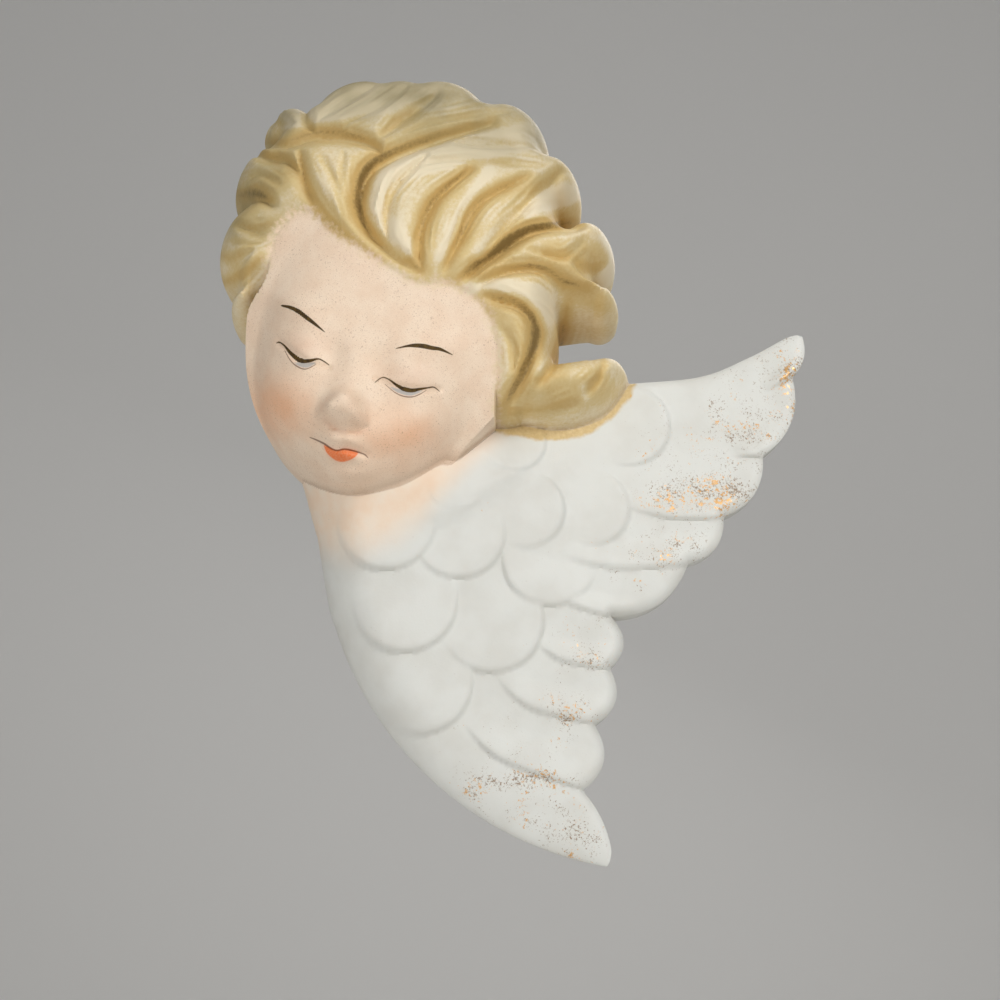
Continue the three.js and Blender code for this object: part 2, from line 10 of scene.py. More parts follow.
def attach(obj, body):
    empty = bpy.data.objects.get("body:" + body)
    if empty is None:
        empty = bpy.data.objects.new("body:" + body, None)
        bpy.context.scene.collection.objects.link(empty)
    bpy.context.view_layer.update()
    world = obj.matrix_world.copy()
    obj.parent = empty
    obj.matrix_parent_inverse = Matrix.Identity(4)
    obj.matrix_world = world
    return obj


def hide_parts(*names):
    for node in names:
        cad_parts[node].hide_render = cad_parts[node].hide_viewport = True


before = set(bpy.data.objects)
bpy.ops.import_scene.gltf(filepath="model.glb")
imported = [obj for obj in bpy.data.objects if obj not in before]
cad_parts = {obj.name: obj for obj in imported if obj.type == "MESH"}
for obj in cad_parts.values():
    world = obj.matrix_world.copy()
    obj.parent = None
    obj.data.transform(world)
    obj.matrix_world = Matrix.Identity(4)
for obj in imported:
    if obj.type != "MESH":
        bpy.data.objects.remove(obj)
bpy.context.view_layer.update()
bpy.ops.object.select_all(action="DESELECT")

# The plaque is laid out in millimetres, x to the right and z up, with its depth toward the viewer.
MM = 0.001
NODE = "cherub_plaque"
RIM_DEPTH = 3.0
BACK_ROUND = 0.8
HOLE_RADIUS = 4.0
HOLE_DEPTH = 6.0
HOLE_X, HOLE_Z = -3.0, 17.0
HOLE_SIDES = 48

# The layout is drawn as one eye sees the figure, on a drawing plane at a stated depth.
EYE_X, EYE_DEPTH, EYE_Z = 7.7, 239.0, -79.8
HAIR_PLANE, FACE_PLANE, WING_PLANE = 20.0, 22.0, 8.0


def seen(x, z, depth, plane):
    """The place on the drawing plane where the eye sees a surface point at its own depth."""
    spread = (EYE_DEPTH - plane) / (EYE_DEPTH - depth)
    return EYE_X + (x - EYE_X) * spread, EYE_Z + (z - EYE_Z) * spread


def clamp01(t):
    return np.clip(t, 0.0, 1.0)


def smooth_step(low, high, value):
    t = clamp01((value - low) / (high - low))
    return t * t * (3 - 2 * t)


def quarter_round(t):
    u = 1 - clamp01(t)
    return np.sqrt(1 - u * u)


def soft_max(a, b, blend):
    h = clamp01(0.5 + 0.5 * (a - b) / blend)
    return b + (a - b) * h + blend * h * (1 - h)


def bump(x, z, cx, cz, rx, rz, turn=0.0):
    dx, dz = x - cx, z - cz
    u = (dx * cos(turn) + dz * sin(turn)) / rx
    v = (dz * cos(turn) - dx * sin(turn)) / rz
    return np.exp(-u * u - v * v)


# A stroke is a smooth curve through a few points with a half width that tapers between its ends.
SPAN_SAMPLES = 8
FAR = 99.0


def spline(points):
    p = np.array(points, float)
    ends = np.vstack([p[0], p, p[-1]])
    out = []
    for i in range(len(p) - 1):
        a, b, c, d = ends[i:i + 4]
        for k in range(SPAN_SAMPLES):
            t = k / SPAN_SAMPLES
            bend = (2 * a - 5 * b + 4 * c - d) * t * t + (3 * b - a - 3 * c + d) * t ** 3
            out.append(0.5 * (2 * b + (c - a) * t + bend))
    out.append(p[-1])
    return np.array(out)


def stroke(points, halves):
    line = spline(points)
    return line, np.interp(np.linspace(0, 1, len(line)), np.linspace(0, 1, len(halves)), halves)


def nearest_on(a, step, x, z):
    """How far along a straight piece each point lies, kept between its ends and not, and how far off it."""
    reached = ((x - a[0]) * step[0] + (z - a[1]) * step[1]) / max(step[0] ** 2 + step[1] ** 2, 1e-9)
    s = clamp01(reached)
    return s, reached, np.hypot(x - a[0] - step[0] * s, z - a[1] - step[1] * s)


def along(one, x, z):
    """How far inside a stroke each point is, how far along, on which side, and how far from its middle."""
    line, widths = one
    reach = widths.max() + 1.0
    near = (x > line[:, 0].min() - reach) & (x < line[:, 0].max() + reach)
    near &= (z > line[:, 1].min() - reach) & (z < line[:, 1].max() + reach)
    px, pz = x[near], z[near]
    inside = np.full(px.shape, -FAR)
    part = np.zeros(px.shape)
    side = np.zeros(px.shape)
    away = np.full(px.shape, FAR)
    spans = len(line) - 1
    for i in range(spans):
        a, step = line[i], line[i + 1] - line[i]
        s, _, gap = nearest_on(a, step, px, pz)
        half = widths[i] + (widths[i + 1] - widths[i]) * s
        better = half - gap > inside
        cross = (step[0] * (pz - a[1]) - step[1] * (px - a[0])) / max(np.hypot(*step), 1e-6)
        inside = np.where(better, half - gap, inside)
        part = np.where(better, (i + s) / spans, part)
        side = np.where(better, cross / np.maximum(half, 0.1), side)
        away = np.where(better, gap, away)
    result = []
    for values, empty in ((inside, -FAR), (part, 0.0), (side, 0.0), (away, FAR)):
        full = np.full(x.shape, empty)
        full[near] = values
        result.append(full)
    return result


def inside_ring(ring, x, z):
    """Distance in from a closed curve, negative outside it."""
    nearest = np.full(x.shape, FAR)
    inside = np.zeros(x.shape, bool)
    for a, b in zip(ring[:-1], ring[1:]):
        step = b - a
        nearest = np.minimum(nearest, nearest_on(a, step, x, z)[2])
        if a[1] != b[1]:
            inside ^= ((a[1] > z) != (b[1] > z)) & (x < a[0] + step[0] * (z - a[1]) / step[1])
    return np.where(inside, nearest, -nearest)


def inside_discs(discs, x, z):
    return np.max([r - np.hypot(x - cx, z - cz) for cx, cz, r in discs], axis=0)


# Hair: a round mass with a lobe for each curl that breaks its outline
HAIR_DISCS = [
    (-6, 10, 23.5), (-30.5, 0.6, 3.2), (-28.5, 9.3, 7.5), (-27, 20.5, 7.1), (-25.7, 31.5, 4.4),
    (-14, 29.5, 8.7), (-1.5, 28, 9.2), (8.5, 26, 7.2), (15.4, 18.9, 5.2), (20.9, 8.9, 4.8), (23.2, 1, 2.9),
    (16.2, 4.5, 5.5), (-21, 26.5, 6.2), (-7.7, 28.8, 8.6),
]
HAIR_TAILS = [
    stroke([[6, -4], [7, -10], [8, -13.4]], [11, 9, 4.5]),
    stroke([[12, 2], [19, 1.8], [23.8, 1]], [5, 3.6, 2.2]),
    stroke([[5, -11.6], [10, -12.2], [16, -13.2], [21, -12], [24.4, -9.6]], [6, 5.6, 5.2, 4.8, 3.2]),
]
HAIR_OUTLINE_DEPTH = 11.0
HAIR_EDGE = 5.5
LOCK_RISE = 2.6
EDGE_SPACING, EDGE_SLACK, EDGE_CHUNK = 0.3, 0.03, 4000


def inside_locks(u, v):
    return np.max([inside_discs(HAIR_DISCS, u, v)] + [along(tail, u, v)[0] for tail in HAIR_TAILS], axis=0)


def inside_hair(x, z):
    return inside_locks(*seen(x, z, HAIR_OUTLINE_DEPTH, HAIR_PLANE))


def hair_edge_points():
    """Points round the edge of the hair, from circles on every lobe and along every tail."""
    circles = HAIR_DISCS + [(x, z, r) for line, widths in HAIR_TAILS for (x, z), r in zip(line, widths)]
    u, v = [], []
    for cx, cz, r in circles:
        turns = np.arange(0, 2 * pi, EDGE_SPACING / r)
        u.append(cx + r * np.cos(turns))
        v.append(cz + r * np.sin(turns))
    u, v = np.concatenate(u), np.concatenate(v)
    outer = inside_locks(u, v) < EDGE_SLACK
    return u[outer], v[outer]


HAIR_EDGE_U, HAIR_EDGE_V = hair_edge_points()


def hair_margin(x, z):
    """The true distance in from the edge of the hair; negative outside it."""
    u, v = seen(x, z, HAIR_OUTLINE_DEPTH, HAIR_PLANE)
    margin = inside_locks(u, v)
    near = np.flatnonzero((margin > 0) & (margin < HAIR_EDGE))
    for part in np.array_split(near, len(near) // EDGE_CHUNK + 1):
        squares = (u[part, None] - HAIR_EDGE_U) ** 2 + (v[part, None] - HAIR_EDGE_V) ** 2
        gap = np.sqrt(np.maximum(squares.min(1) - EDGE_SPACING ** 2 / 4, 0))
        margin[part] = np.maximum(margin[part], gap)
    return margin


# Grooves between the locks: path, half width, depth
GROOVES = [
    ([[6.4, 31.5], [-3.1, 28.6], [-11.9, 24.5], [-14.1, 19.4], [-13.1, 14.9], [-8.5, 9.6], [-4.6, 7]],
     4, 3.4),
    ([[-29, 28.2], [-25.5, 28], [-20.5, 29.6], [-13.2, 28.4], [-10, 26]], 3.4, 2.6),
    ([[-23, 35], [-22.6, 31.5], [-20, 29.6]], 2.6, 2),
    ([[-2.3, 36.2], [-6.9, 33], [-10.7, 29.4]], 3.2, 2),
    ([[-23.5, 26.6], [-22.4, 21.5], [-19.5, 15.6], [-13.4, 10.4], [-9.5, 8.2]], 3.4, 2.4),
    ([[-3.9, 25.9], [-9, 20], [-9.8, 13.4], [-7.4, 8.6]], 2.4, 1.7),
    ([[3.3, 23.6], [-2.6, 18.4], [-4.8, 12.3], [-4.4, 7.6]], 3, 2),
    ([[12, 22.5], [4.5, 18], [1.2, 11.6], [-1, 7]], 2.8, 1.8),
    ([[20, 14.4], [12.2, 13.4], [6.2, 9.2], [1.6, 5.4]], 3.2, 2.8),
    ([[13.7, 27.6], [6.5, 27.9], [0.3, 28.1]], 2.2, 1.2),
    ([[4.4, 5], [9.6, 7.2], [13.9, 7.2], [18, 4.8], [22.5, 4.1]], 3, 2.6),
    ([[5.1, 3.2], [11.2, 0.8], [13.2, -3.4], [11.4, -9], [8.4, -14.5]], 3, 2.6),
    ([[18.2, 2.2], [17.2, -2.6], [15.6, -7.8], [13.6, -11]], 2.8, 2),
    ([[-34.5, 18.8], [-30.2, 19.4], [-27.3, 17.9]], 3, 2.6),
    ([[-36, 9.6], [-33.3, 8.8], [-30.4, 10.6]], 2.2, 1.6),
    ([[-34.6, 4.6], [-31.7, 6], [-28.6, 9]], 2.6, 2.2),
    ([[-31.5, 27.6], [-28.4, 25.8], [-25.4, 25.2], [-23, 22.6]], 3, 2.4),
    ([[-32.6, 14.2], [-29.4, 13.6], [-27, 14.8]], 2.4, 1.6),
    ([[18, 24.2], [14, 20.5], [9.5, 15.5], [5.3, 10]], 2.8, 1.8),
    ([[24, 8], [21.4, 7], [19.4, 8.6], [20.6, 10.6]], 1.9, 1.4),
    ([[12, 10.4], [17.4, 9.2], [20.6, 12]], 2, 1.2),
    ([[20.6, -12.6], [22.6, -10], [23.4, -7.6]], 1.8, 1.3),
    ([[8, -15.6], [14.5, -15.2], [19.4, -14]], 2, 1.3),
    ([[7.4, -1.6], [9.6, -5], [9.8, -9.4]], 2, 1.1),
    ([[9, 33], [2, 32.4], [-5, 30.6], [-11, 27.2]], 1.5, 0.7),
    ([[14.5, 24], [8, 24.6], [0, 25.2], [-7, 24]], 1.5, 0.7),
    ([[-12, 37.6], [-17, 34.6], [-21, 31.6]], 1.7, 0.8),
    ([[-7, 37.4], [-12, 33.6], [-17.4, 31]], 1.6, 0.7),
    ([[-20, 25.6], [-17.4, 20.5], [-15.4, 15]], 1.5, 0.7),
    ([[-16.6, 26.4], [-16.6, 21], [-14.6, 16.4]], 1.3, 0.6),
    ([[-32.6, 21.6], [-29.4, 22.6], [-26.4, 21]], 1.6, 0.8),
    ([[-33.6, 11.6], [-30.6, 11.4], [-28, 12.4]], 1.5, 0.8),
    ([[-28.6, 33.4], [-26.4, 31.4], [-23.6, 31.8]], 1.5, 0.9),
]
GROOVE_STROKES = [(stroke(path, [half / 2, half, half / 2]), depth) for path, half, depth in GROOVES]
# Fine hair lines on both sides of every groove
FLOW_REACH = 4.5
FLOW_STROKES = [stroke(path, [FLOW_REACH]) for path, _, _ in GROOVES]
LINE_PITCH, LINE_DEPTH = 1.0, 0.13


def lock_lines(u, v):
    """Fine uneven lines that run beside the grooves, from -1 in a line to 1 between lines."""
    nearest = np.full(u.shape, FAR)
    strength = np.zeros(u.shape)
    for i, line in enumerate(FLOW_STROKES):
        _, part, side, away = along(line, u, v)
        closer = away < nearest
        nearest = np.where(closer, away, nearest)
        patchy = 0.5 + 0.5 * np.sin(9 * part + 2.3 * i + 2 * side)
        ends = smooth_step(0, 0.15, part) * smooth_step(1, 0.85, part)
        strength = np.where(closer, ends * patchy * smooth_step(FLOW_REACH, 1.5, away), strength)
    uneven = 0.9 * np.sin(0.5 * u + 1.7) + 0.9 * np.sin(0.6 * v + 0.3 * u)
    return strength * np.cos(2 * pi * (nearest / LINE_PITCH) + uneven)


def groove_depth(u, v):
    deepest = np.zeros(u.shape)
    for line, depth in GROOVE_STROKES:
        inside, part, _, away = along(line, u, v)
        ends = np.sqrt(np.sin(pi * np.clip(0.06 + 0.88 * part, 0, 1)))
        across = away / np.maximum(away + inside, 1e-6)
        cut = depth * ends * (1 - np.sin(pi / 2 * across))
        deepest = np.where(inside > 0, np.maximum(deepest, cut), deepest)
    return deepest


# The opening of the hair round the face; the closed curve runs on below the chin
FACE_OPENING = spline([
    [-31.5, -2.5], [-27.7, 5], [-26.3, 11.7], [-22, 15.6], [-17.6, 11.7], [-11.4, 7.9], [-5.1, 3.8],
    [-0.3, 3.6], [5, 0.2], [7.2, -7.2], [6.9, -16.3], [9, -24], [-10, -40], [-38, -30], [-37, -6],
    [-31.5, -2.5],
])
OPENING_ROUND, GROOVE_FADE, FACE_TUCK = 4.5, 3.0, 4.0

# The head under hair and skin: two domes, each with its own reach on each side
FACE_DOME = dict(x=-12.9, z=-6, left=18.4, right=24, up=30, down=22.8, down_left=20.2, down_right=17.8,
                 floor=4, rise=22.5)
CROWN_DOME = dict(x=-4, z=9, left=37, right=36, up=39, down=36, down_left=36, down_right=36, floor=4, rise=22)


def dome_radius(dome, x, z):
    dx, dz = x - dome["x"], z - dome["z"]
    down = dome["down"] - (dome["down"] - dome["down_left"]) * smooth_step(0, 12, -dx)
    down -= (dome["down"] - dome["down_right"]) * smooth_step(5, 20, dx)
    wide = np.where(dx < 0, dome["left"], dome["right"])
    tall = np.where(dz < 0, down, dome["up"])
    return np.hypot(dx / wide, dz / tall)


def skull_depth(x, z):
    fr = np.minimum(1, dome_radius(FACE_DOME, x, z))
    face = FACE_DOME["floor"] + FACE_DOME["rise"] * (1 - fr ** 3) ** 0.45
    cr = np.minimum(1, dome_radius(CROWN_DOME, x, z))
    crown = CROWN_DOME["floor"] + CROWN_DOME["rise"] * np.sqrt(1 - cr * cr)
    return soft_max(face, crown, 2)


# Features of the sleeping face, as drawn on the face plane
EYES = [(-21.6, -7.3, -0.42, 4.1), (-6, -11.9, -0.14, 4.8)]
NOSE_CREASE = stroke([[-18.4, -17.4], [-16.9, -18.8], [-15.1, -19.5], [-13.2, -19.6], [-11.6, -18.9]],
                     [0.2, 0.45, 0.4, 0.45, 0.2])
MOUTH_LINE = stroke([[-20.2, -20.3], [-17, -22.2], [-15.2, -22.3], [-11.9, -23.2]], [0.9, 1.6, 0.9])


def lash_line(x, z, tilt, half):
    dx, dz = cos(tilt) * half, sin(tilt) * half
    return stroke([[x - dx, z - dz + 0.2], [x, z - 1.2], [x + dx, z + dz - 0.3]], [0.7, 0.9, 0.7])


LASH_LINES = [lash_line(*eye) for eye in EYES]


def knob(x, z, cx, cz, rx, rz):
    """A rounder and steeper rise than a bump."""
    return np.exp(-np.hypot((x - cx) / rx, (z - cz) / rz) ** 2.6)


def face_relief(u, v):
    h = np.zeros(u.shape)
    for x, z, tilt, half in EYES:
        h -= 1.1 * bump(u, v, x, z + 0.6, half * 1.5, 4.2, tilt)
        h += 1.9 * bump(u, v, x, z + 0.7, half * 0.95, 2.9, tilt)
    h -= 1.0 * bump(u, v, -17.6, -7.2, 2.2, 3) + 1.0 * bump(u, v, -10.2, -9.4, 2.4, 3)
    h += 0.7 * bump(u, v, -22, -0.8, 5, 2, -0.5) + 0.7 * bump(u, v, -3.5, -6.2, 5.5, 2.2, -0.1)
    for line in LASH_LINES:
        h -= 0.5 * clamp01(along(line, u, v)[0] * 1.6)
    h += 0.5 * bump(u, v, -13.8, -9, 3, 4) + 0.9 * bump(u, v, -14.6, -13, 2.8, 2.8)
    h += 3.9 * knob(u, v, -15.3, -16.1, 2.75, 2.6)
    h += 1.2 * knob(u, v, -17.6, -16.9, 1.3, 1.3) + 1.2 * knob(u, v, -12.9, -17.8, 1.3, 1.3)
    h -= 0.5 * bump(u, v, -16.6, -18.9, 0.9, 0.6) + 0.5 * bump(u, v, -13.8, -19.2, 0.9, 0.6)
    h -= 0.5 * smooth_step(-0.3, 0.4, along(NOSE_CREASE, u, v)[0])
    h += 1.8 * bump(u, v, -15.6, -21, 5, 3)
    h -= 0.35 * bump(u, v, -15.4, -20, 0.7, 1.1)
    h -= 0.8 * smooth_step(0, 1.5, along(MOUTH_LINE, u, v)[0])
    h += 0.5 * bump(u, v, -16.9, -21.2, 1.6, 0.8, -0.4) + 0.5 * bump(u, v, -14.3, -21.4, 1.6, 0.8, -0.1)
    h += 1.0 * bump(u, v, -15.5, -23.4, 2.3, 1, -0.1)
    h -= 0.8 * bump(u, v, -15.2, -25, 2.6, 0.9, -0.1)
    h += 2.4 * bump(u, v, -14.6, -26, 4.4, 2.4)
    h += 1.1 * bump(u, v, -24.2, -15.8, 5, 5.5) + 1.6 * bump(u, v, -4.6, -19.6, 7.2, 5.6)
    return h


# Wings: the top edge, then one arc per feather tip between neighbouring notches, each with its bulge
WING_TOP = [[14, -9], [30, -7.6], [40, -6.3], [48, -2.8], [53.5, 0.2], [55.8, 0.6]]
TIP_ARCS = [
    (54, -6.5, 1.1), (48.8, -19.4, 2.3), (42.3, -29.2, 2.1), (36.6, -36.6, 1.9), (24.6, -45, 2.5),
    (24.3, -52.8, 2), (21.9, -61.2, 2.1), (20, -70.8, 2.3), (24.2, -79.5, 0.7), (22.5, -84, 0.3),
]
INNER_SIDE = [[-45, -84], [-45, -5]]
ARC_STEPS = 8


def wing_ring():
    ring = list(spline(WING_TOP))
    for x, z, bulge in TIP_ARCS:
        start = ring[-1]
        chord = np.array([x, z]) - start
        out = np.array([-chord[1], chord[0]]) / np.hypot(*chord)
        for t in np.arange(1, ARC_STEPS + 1) / ARC_STEPS:
            ring.append(start + chord * t + out * 4 * bulge * t * (1 - t))
    return np.array(ring + INNER_SIDE + [WING_TOP[0]])


WING_RING = wing_ring()

# Lines where the lower edge of one feather lies over the next, from root to notch, with the reach of its rise
FEATHER_LINES = [stroke(path, [reach * 0.7, reach]) for path, reach in [
    ([[49.5, -9.2], [54.5, -6.2]], 3),
    ([[44, -19.6], [50, -19.6]], 4),
    ([[26, -27.2], [34.4, -29.6], [43.5, -29.3]], 7),
    ([[14, -34.4], [25, -37.4], [38, -36.7]], 6),
    ([[14, -41], [20, -43.6], [26, -45.2]], 4),
    ([[12.5, -48], [17, -51.6], [25.5, -53]], 5),
    ([[6, -52.8], [12, -58.6], [23, -61.3]], 6),
    ([[1.4, -60], [7.5, -66.2], [21, -71]], 7),
]]
# Coverts: middle, radius and the direction in which the free edge lies
COVERTS = [
    (-4.4, -54.6, 8, -1.2), (6.5, -45.4, 8, -0.9), (15.4, -35.8, 7.4, -2), (-6.9, -42.1, 8.2, -1.3),
    (28, -14.5, 6.5, -0.2), (21.9, -27.8, 6, -0.5), (11.5, -28, 6.3, -0.7), (1.5, -31.7, 7.2, -1.1),
    (-9.9, -29.8, 7.8, -1.5), (10, -17, 5, -1.1), (1, -24, 4.5, -1.3),
]
OUTER_SWEEP = (32.5, -30.1, 52.5)
NECK = stroke([[-12.2, -16], [-10.6, -30], [-9.5, -42]], [13, 10.2, 9])
WING_OUTLINE_DEPTH = 4.0
FEATHER_STEP, COVERT_STEP, COVERT_ROUND, FULL_COVERT = 0.9, 1.0, 1.0, 8.0
SWEEP_EDGE, TIP_EDGE, TIP_START = 8.0, 2.2, 0.15
# Soft folds where the coverts meet the neck: middle, reach in x and z, turn
WING_FOLDS = [
    (3.5, -25.5, 5, 2.2, 0.6), (-1.5, -28.5, 4, 1.6, 0.5), (9, -22.5, 4, 1.5, 0.5),
    (12, -33, 9, 3, -0.4),
]
FOLD_RISE = 0.35
WING_BASE, SHOULDER_RISE, THROAT_RISE = 4.2, 8.8, 4.8


def wing_swell(x, z):
    """The wings' even swell, fuller at the shoulder and most so under the chin."""
    shoulder, throat = bump(x, z, -4, -32, 31, 33), bump(x, z, -9, -22, 15, 10)
    return WING_BASE + SHOULDER_RISE * shoulder + THROAT_RISE * throat


def spots(places, x, z, strengths=None):
    """Bumps added up, each with its strength."""
    strengths = strengths or [1.0] * len(places)
    return np.sum([k * bump(x, z, *place) for k, place in zip(strengths, places)], axis=0)


def wing_margins(x, z):
    """How far in from the feather tips, and how far in from the outer sweep, with the neck filled in."""
    u, v = seen(x, z, WING_OUTLINE_DEPTH, WING_PLANE)
    neck = along(NECK, u, v)[0]
    return np.maximum(neck, inside_ring(WING_RING, u, v)), np.maximum(neck, inside_discs([OUTER_SWEEP], u, v))


def wing_depth(x, z):
    swell = wing_swell(x, z)
    u, v = seen(x, z, swell, WING_PLANE)
    lift = FOLD_RISE * spots(WING_FOLDS, u, v)
    for line in FEATHER_LINES:
        inside, part, side, away = along(line, u, v)
        above = np.where(side > 0, away, 0)
        rise = quarter_round(above / 0.8) * (1 - smooth_step(0.1, 1, above / np.maximum(above + inside, 0.1)))
        lift = np.where(inside > 0, np.maximum(lift, FEATHER_STEP * rise * smooth_step(0, 0.5, part)), lift)
    for cx, cz, r, toward in COVERTS:
        inside = r - np.hypot(u - cx, v - cz)
        forward = ((u - cx) * cos(toward) + (v - cz) * sin(toward)) / r
        rise = smooth_step(-0.5, 0.9, forward) * quarter_round(inside / COVERT_ROUND)
        lift = np.where(inside > 0, np.maximum(lift, COVERT_STEP * r / FULL_COVERT * rise), lift)
    tips, sweep = wing_margins(x, z)
    edge = quarter_round(sweep / SWEEP_EDGE) * quarter_round(TIP_START + tips / TIP_EDGE)
    return RIM_DEPTH + (swell + lift - RIM_DEPTH) * edge


def head_depth(x, z):
    """Skin inside the opening, raised and grooved locks outside it."""
    skull = skull_depth(x, z)
    opened = inside_ring(FACE_OPENING, *seen(x, z, skull, FACE_PLANE))
    relief = face_relief(*seen(x, z, skull, FACE_PLANE))
    skin = np.where(dome_radius(FACE_DOME, x, z) < 1, skull + relief, 0)
    hu, hv = seen(x, z, skull + LOCK_RISE, HAIR_PLANE)
    grooves = (groove_depth(hu, hv) - LINE_DEPTH * lock_lines(hu, hv)) * smooth_step(0, GROOVE_FADE, -opened)
    locks = skull + LOCK_RISE * np.sin(pi / 2 * clamp01(-opened / OPENING_ROUND)) - grooves
    margin = hair_margin(x, z)
    hair = np.where(margin > 0, RIM_DEPTH + (locks - RIM_DEPTH) * quarter_round(margin / HAIR_EDGE), 0)
    return np.where(opened > 0, skin, hair)


def inside_figure(x, z):
    opened = inside_ring(FACE_OPENING, *seen(x, z, HAIR_OUTLINE_DEPTH, FACE_PLANE))
    face = np.where(opened > -FACE_TUCK, (1 - dome_radius(FACE_DOME, x, z)) * FACE_DOME["left"], -FAR)
    tips, sweep = wing_margins(x, z)
    return np.max([inside_hair(x, z), np.minimum(tips, sweep), face], axis=0)


def depth_at(x, z):
    return np.max([np.full(x.shape, RIM_DEPTH), head_depth(x, z), wing_depth(x, z)], axis=0)


def evened_margin(x, z, reach):
    """The outline's margin evened out over a small reach, and how fast it grows along x and along z."""
    right, left = inside_figure(x + reach, z), inside_figure(x - reach, z)
    upper, lower = inside_figure(x, z + reach), inside_figure(x, z - reach)
    return (right + left + upper + lower) / 4, (right - left) / (2 * reach), (upper - lower) / (2 * reach)


# The surface grid: lines closer over the head than elsewhere, drawn out toward the outline from EDGE_CROWD in
PLAIN_STEP, FINE_STEP = 0.42, 0.27
GRID_LEFT, GRID_RIGHT, GRID_LOW, GRID_HIGH = -40.0, 58.0, -83.0, 46.0
FINE_LEFT, FINE_RIGHT, FINE_LOW, FINE_HIGH = -37.0, 25.0, -29.0, 44.0
EDGE_CROWD, CROWD_POWER = 3.0, 1.6
EDGE_REACH, CROWD_REACH = 0.3, 0.8
WALL_START, WALL_RINGS = 0.5, 7
BACK_TURNS = [radians(angle) for angle in (0, 30, 60, 90)]
FRONT_MERGE, BACK_MERGE = 0.04, 0.06
LEAST_SQUARE, LEAST_SLOPE, LEAST_GAP = 0.3, 0.5, 0.1
SMOOTH_ANGLE = radians(50)


def grid_lines(low, high, fine_low, fine_high):
    lines = [low]
    while lines[-1] < high:
        lines.append(lines[-1] + (FINE_STEP if fine_low < lines[-1] < fine_high else PLAIN_STEP))
    return np.array(lines)


def flat_grid(xs, zs):
    """A bpy grid whose points are moved to the chosen lines; x runs fastest."""
    bpy.ops.mesh.primitive_grid_add(x_subdivisions=len(xs) - 1, y_subdivisions=len(zs) - 1, size=1)
    piece = bpy.context.object
    count = len(piece.data.vertices)
    flat = np.empty(count * 3)
    piece.data.vertices.foreach_get("co", flat)
    flat = flat.reshape(-1, 3)
    columns = np.rint((flat[:, 0] + 0.5) * (len(xs) - 1)).astype(int)
    rows = np.rint((flat[:, 1] + 0.5) * (len(zs) - 1)).astype(int)
    return piece, xs[columns], zs[rows]


def place(piece, x, z, depth):
    points = np.stack([x, -depth, z], -1) * MM
    piece.data.vertices.foreach_set("co", points.ravel())
    piece.data.update()


def onto_margin(x, z, wanted, rounds=5):
    """Moves points along the slope of the outline's margin until it is the wanted one."""
    for _ in range(rounds):
        margin, gx, gz = evened_margin(x, z, EDGE_REACH)
        step = (margin - wanted) / np.maximum(gx * gx + gz * gz, LEAST_SQUARE)
        x = x - gx * step
        z = z - gz * step
    return x, z


def relief_front():
    piece, x, z = flat_grid(grid_lines(GRID_LEFT, GRID_RIGHT, FINE_LEFT, FINE_RIGHT),
                           grid_lines(GRID_LOW, GRID_HIGH, FINE_LOW, FINE_HIGH))
    mesh = piece.data
    margin = inside_figure(x, z)
    corners = np.empty(len(mesh.loops), int)
    mesh.loops.foreach_get("vertex_index", corners)
    corners = corners.reshape(-1, 4)
    kept = margin[corners].mean(1) > WALL_START
    in_kept = np.zeros(len(x), bool)
    in_kept[corners[kept]] = True
    in_cut = np.zeros(len(x), bool)
    in_cut[corners[~kept]] = True
    border = in_kept & in_cut
    x[border], z[border] = onto_margin(x[border], z[border], WALL_START)
    crowd = in_kept & ~border & (margin < EDGE_CROWD)
    around, gx, gz = evened_margin(x[crowd], z[crowd], CROWD_REACH)
    beyond = np.maximum(np.minimum(margin[crowd], around) - WALL_START, LEAST_GAP)
    shift = beyond - beyond ** CROWD_POWER / (EDGE_CROWD - WALL_START) ** (CROWD_POWER - 1)
    x[crowd] -= gx * shift
    z[crowd] -= gz * shift
    depth = np.full(len(x), RIM_DEPTH)
    depth[in_kept] = depth_at(x[in_kept], z[in_kept])
    place(piece, x, z, depth)
    bpy.ops.object.mode_set(mode="EDIT")
    shape = bmesh.from_edit_mesh(mesh)
    shape.verts.ensure_lookup_table()
    for vert in shape.verts:
        vert.select_set(not in_kept[vert.index])
    bpy.ops.mesh.delete(type="VERT")
    return piece


def down_wall(x, depth, z, wanted):
    """Onto the outline's wanted margin, at the depth of the surface there."""
    x, z = onto_margin(x, z, wanted, rounds=3)
    lower = depth_at(x, z) if wanted > 0 else np.full(x.shape, RIM_DEPTH)
    return x, np.minimum(lower, depth), z


def round_back(x, depth, z, inset, height):
    """Further in by the inset, at the height of this turn of the rounded edge."""
    _, gx, gz = evened_margin(x, z, BACK_ROUND)
    step = inset / np.maximum(np.hypot(gx, gz), LEAST_SLOPE)
    return x + gx * step, np.full(x.shape, height), z + gz * step


def next_ring(piece, move, *aims):
    """Extrudes the open edge and moves the new ring's points, given and returned as x, depth and z."""
    bpy.ops.mesh.extrude_region_move(TRANSFORM_OT_translate={"value": (0, 0, 0)})
    shape = bmesh.from_edit_mesh(piece.data)
    ring = [vert for vert in shape.verts if vert.select]
    old = np.array([vert.co for vert in ring]) / MM
    x, depth, z = move(old[:, 0], -old[:, 1], old[:, 2], *aims)
    for vert, px, pd, pz in zip(ring, x, depth, z):
        vert.co = (px * MM, -pd * MM, pz * MM)
    bmesh.update_edit_mesh(piece.data)


def select_open_edges():
    bpy.ops.mesh.select_mode(type="EDGE")
    bpy.ops.mesh.select_all(action="DESELECT")
    bpy.ops.mesh.select_non_manifold(extend=False, use_wire=True, use_boundary=True,
                                     use_multi_face=False, use_non_contiguous=False, use_verts=False)


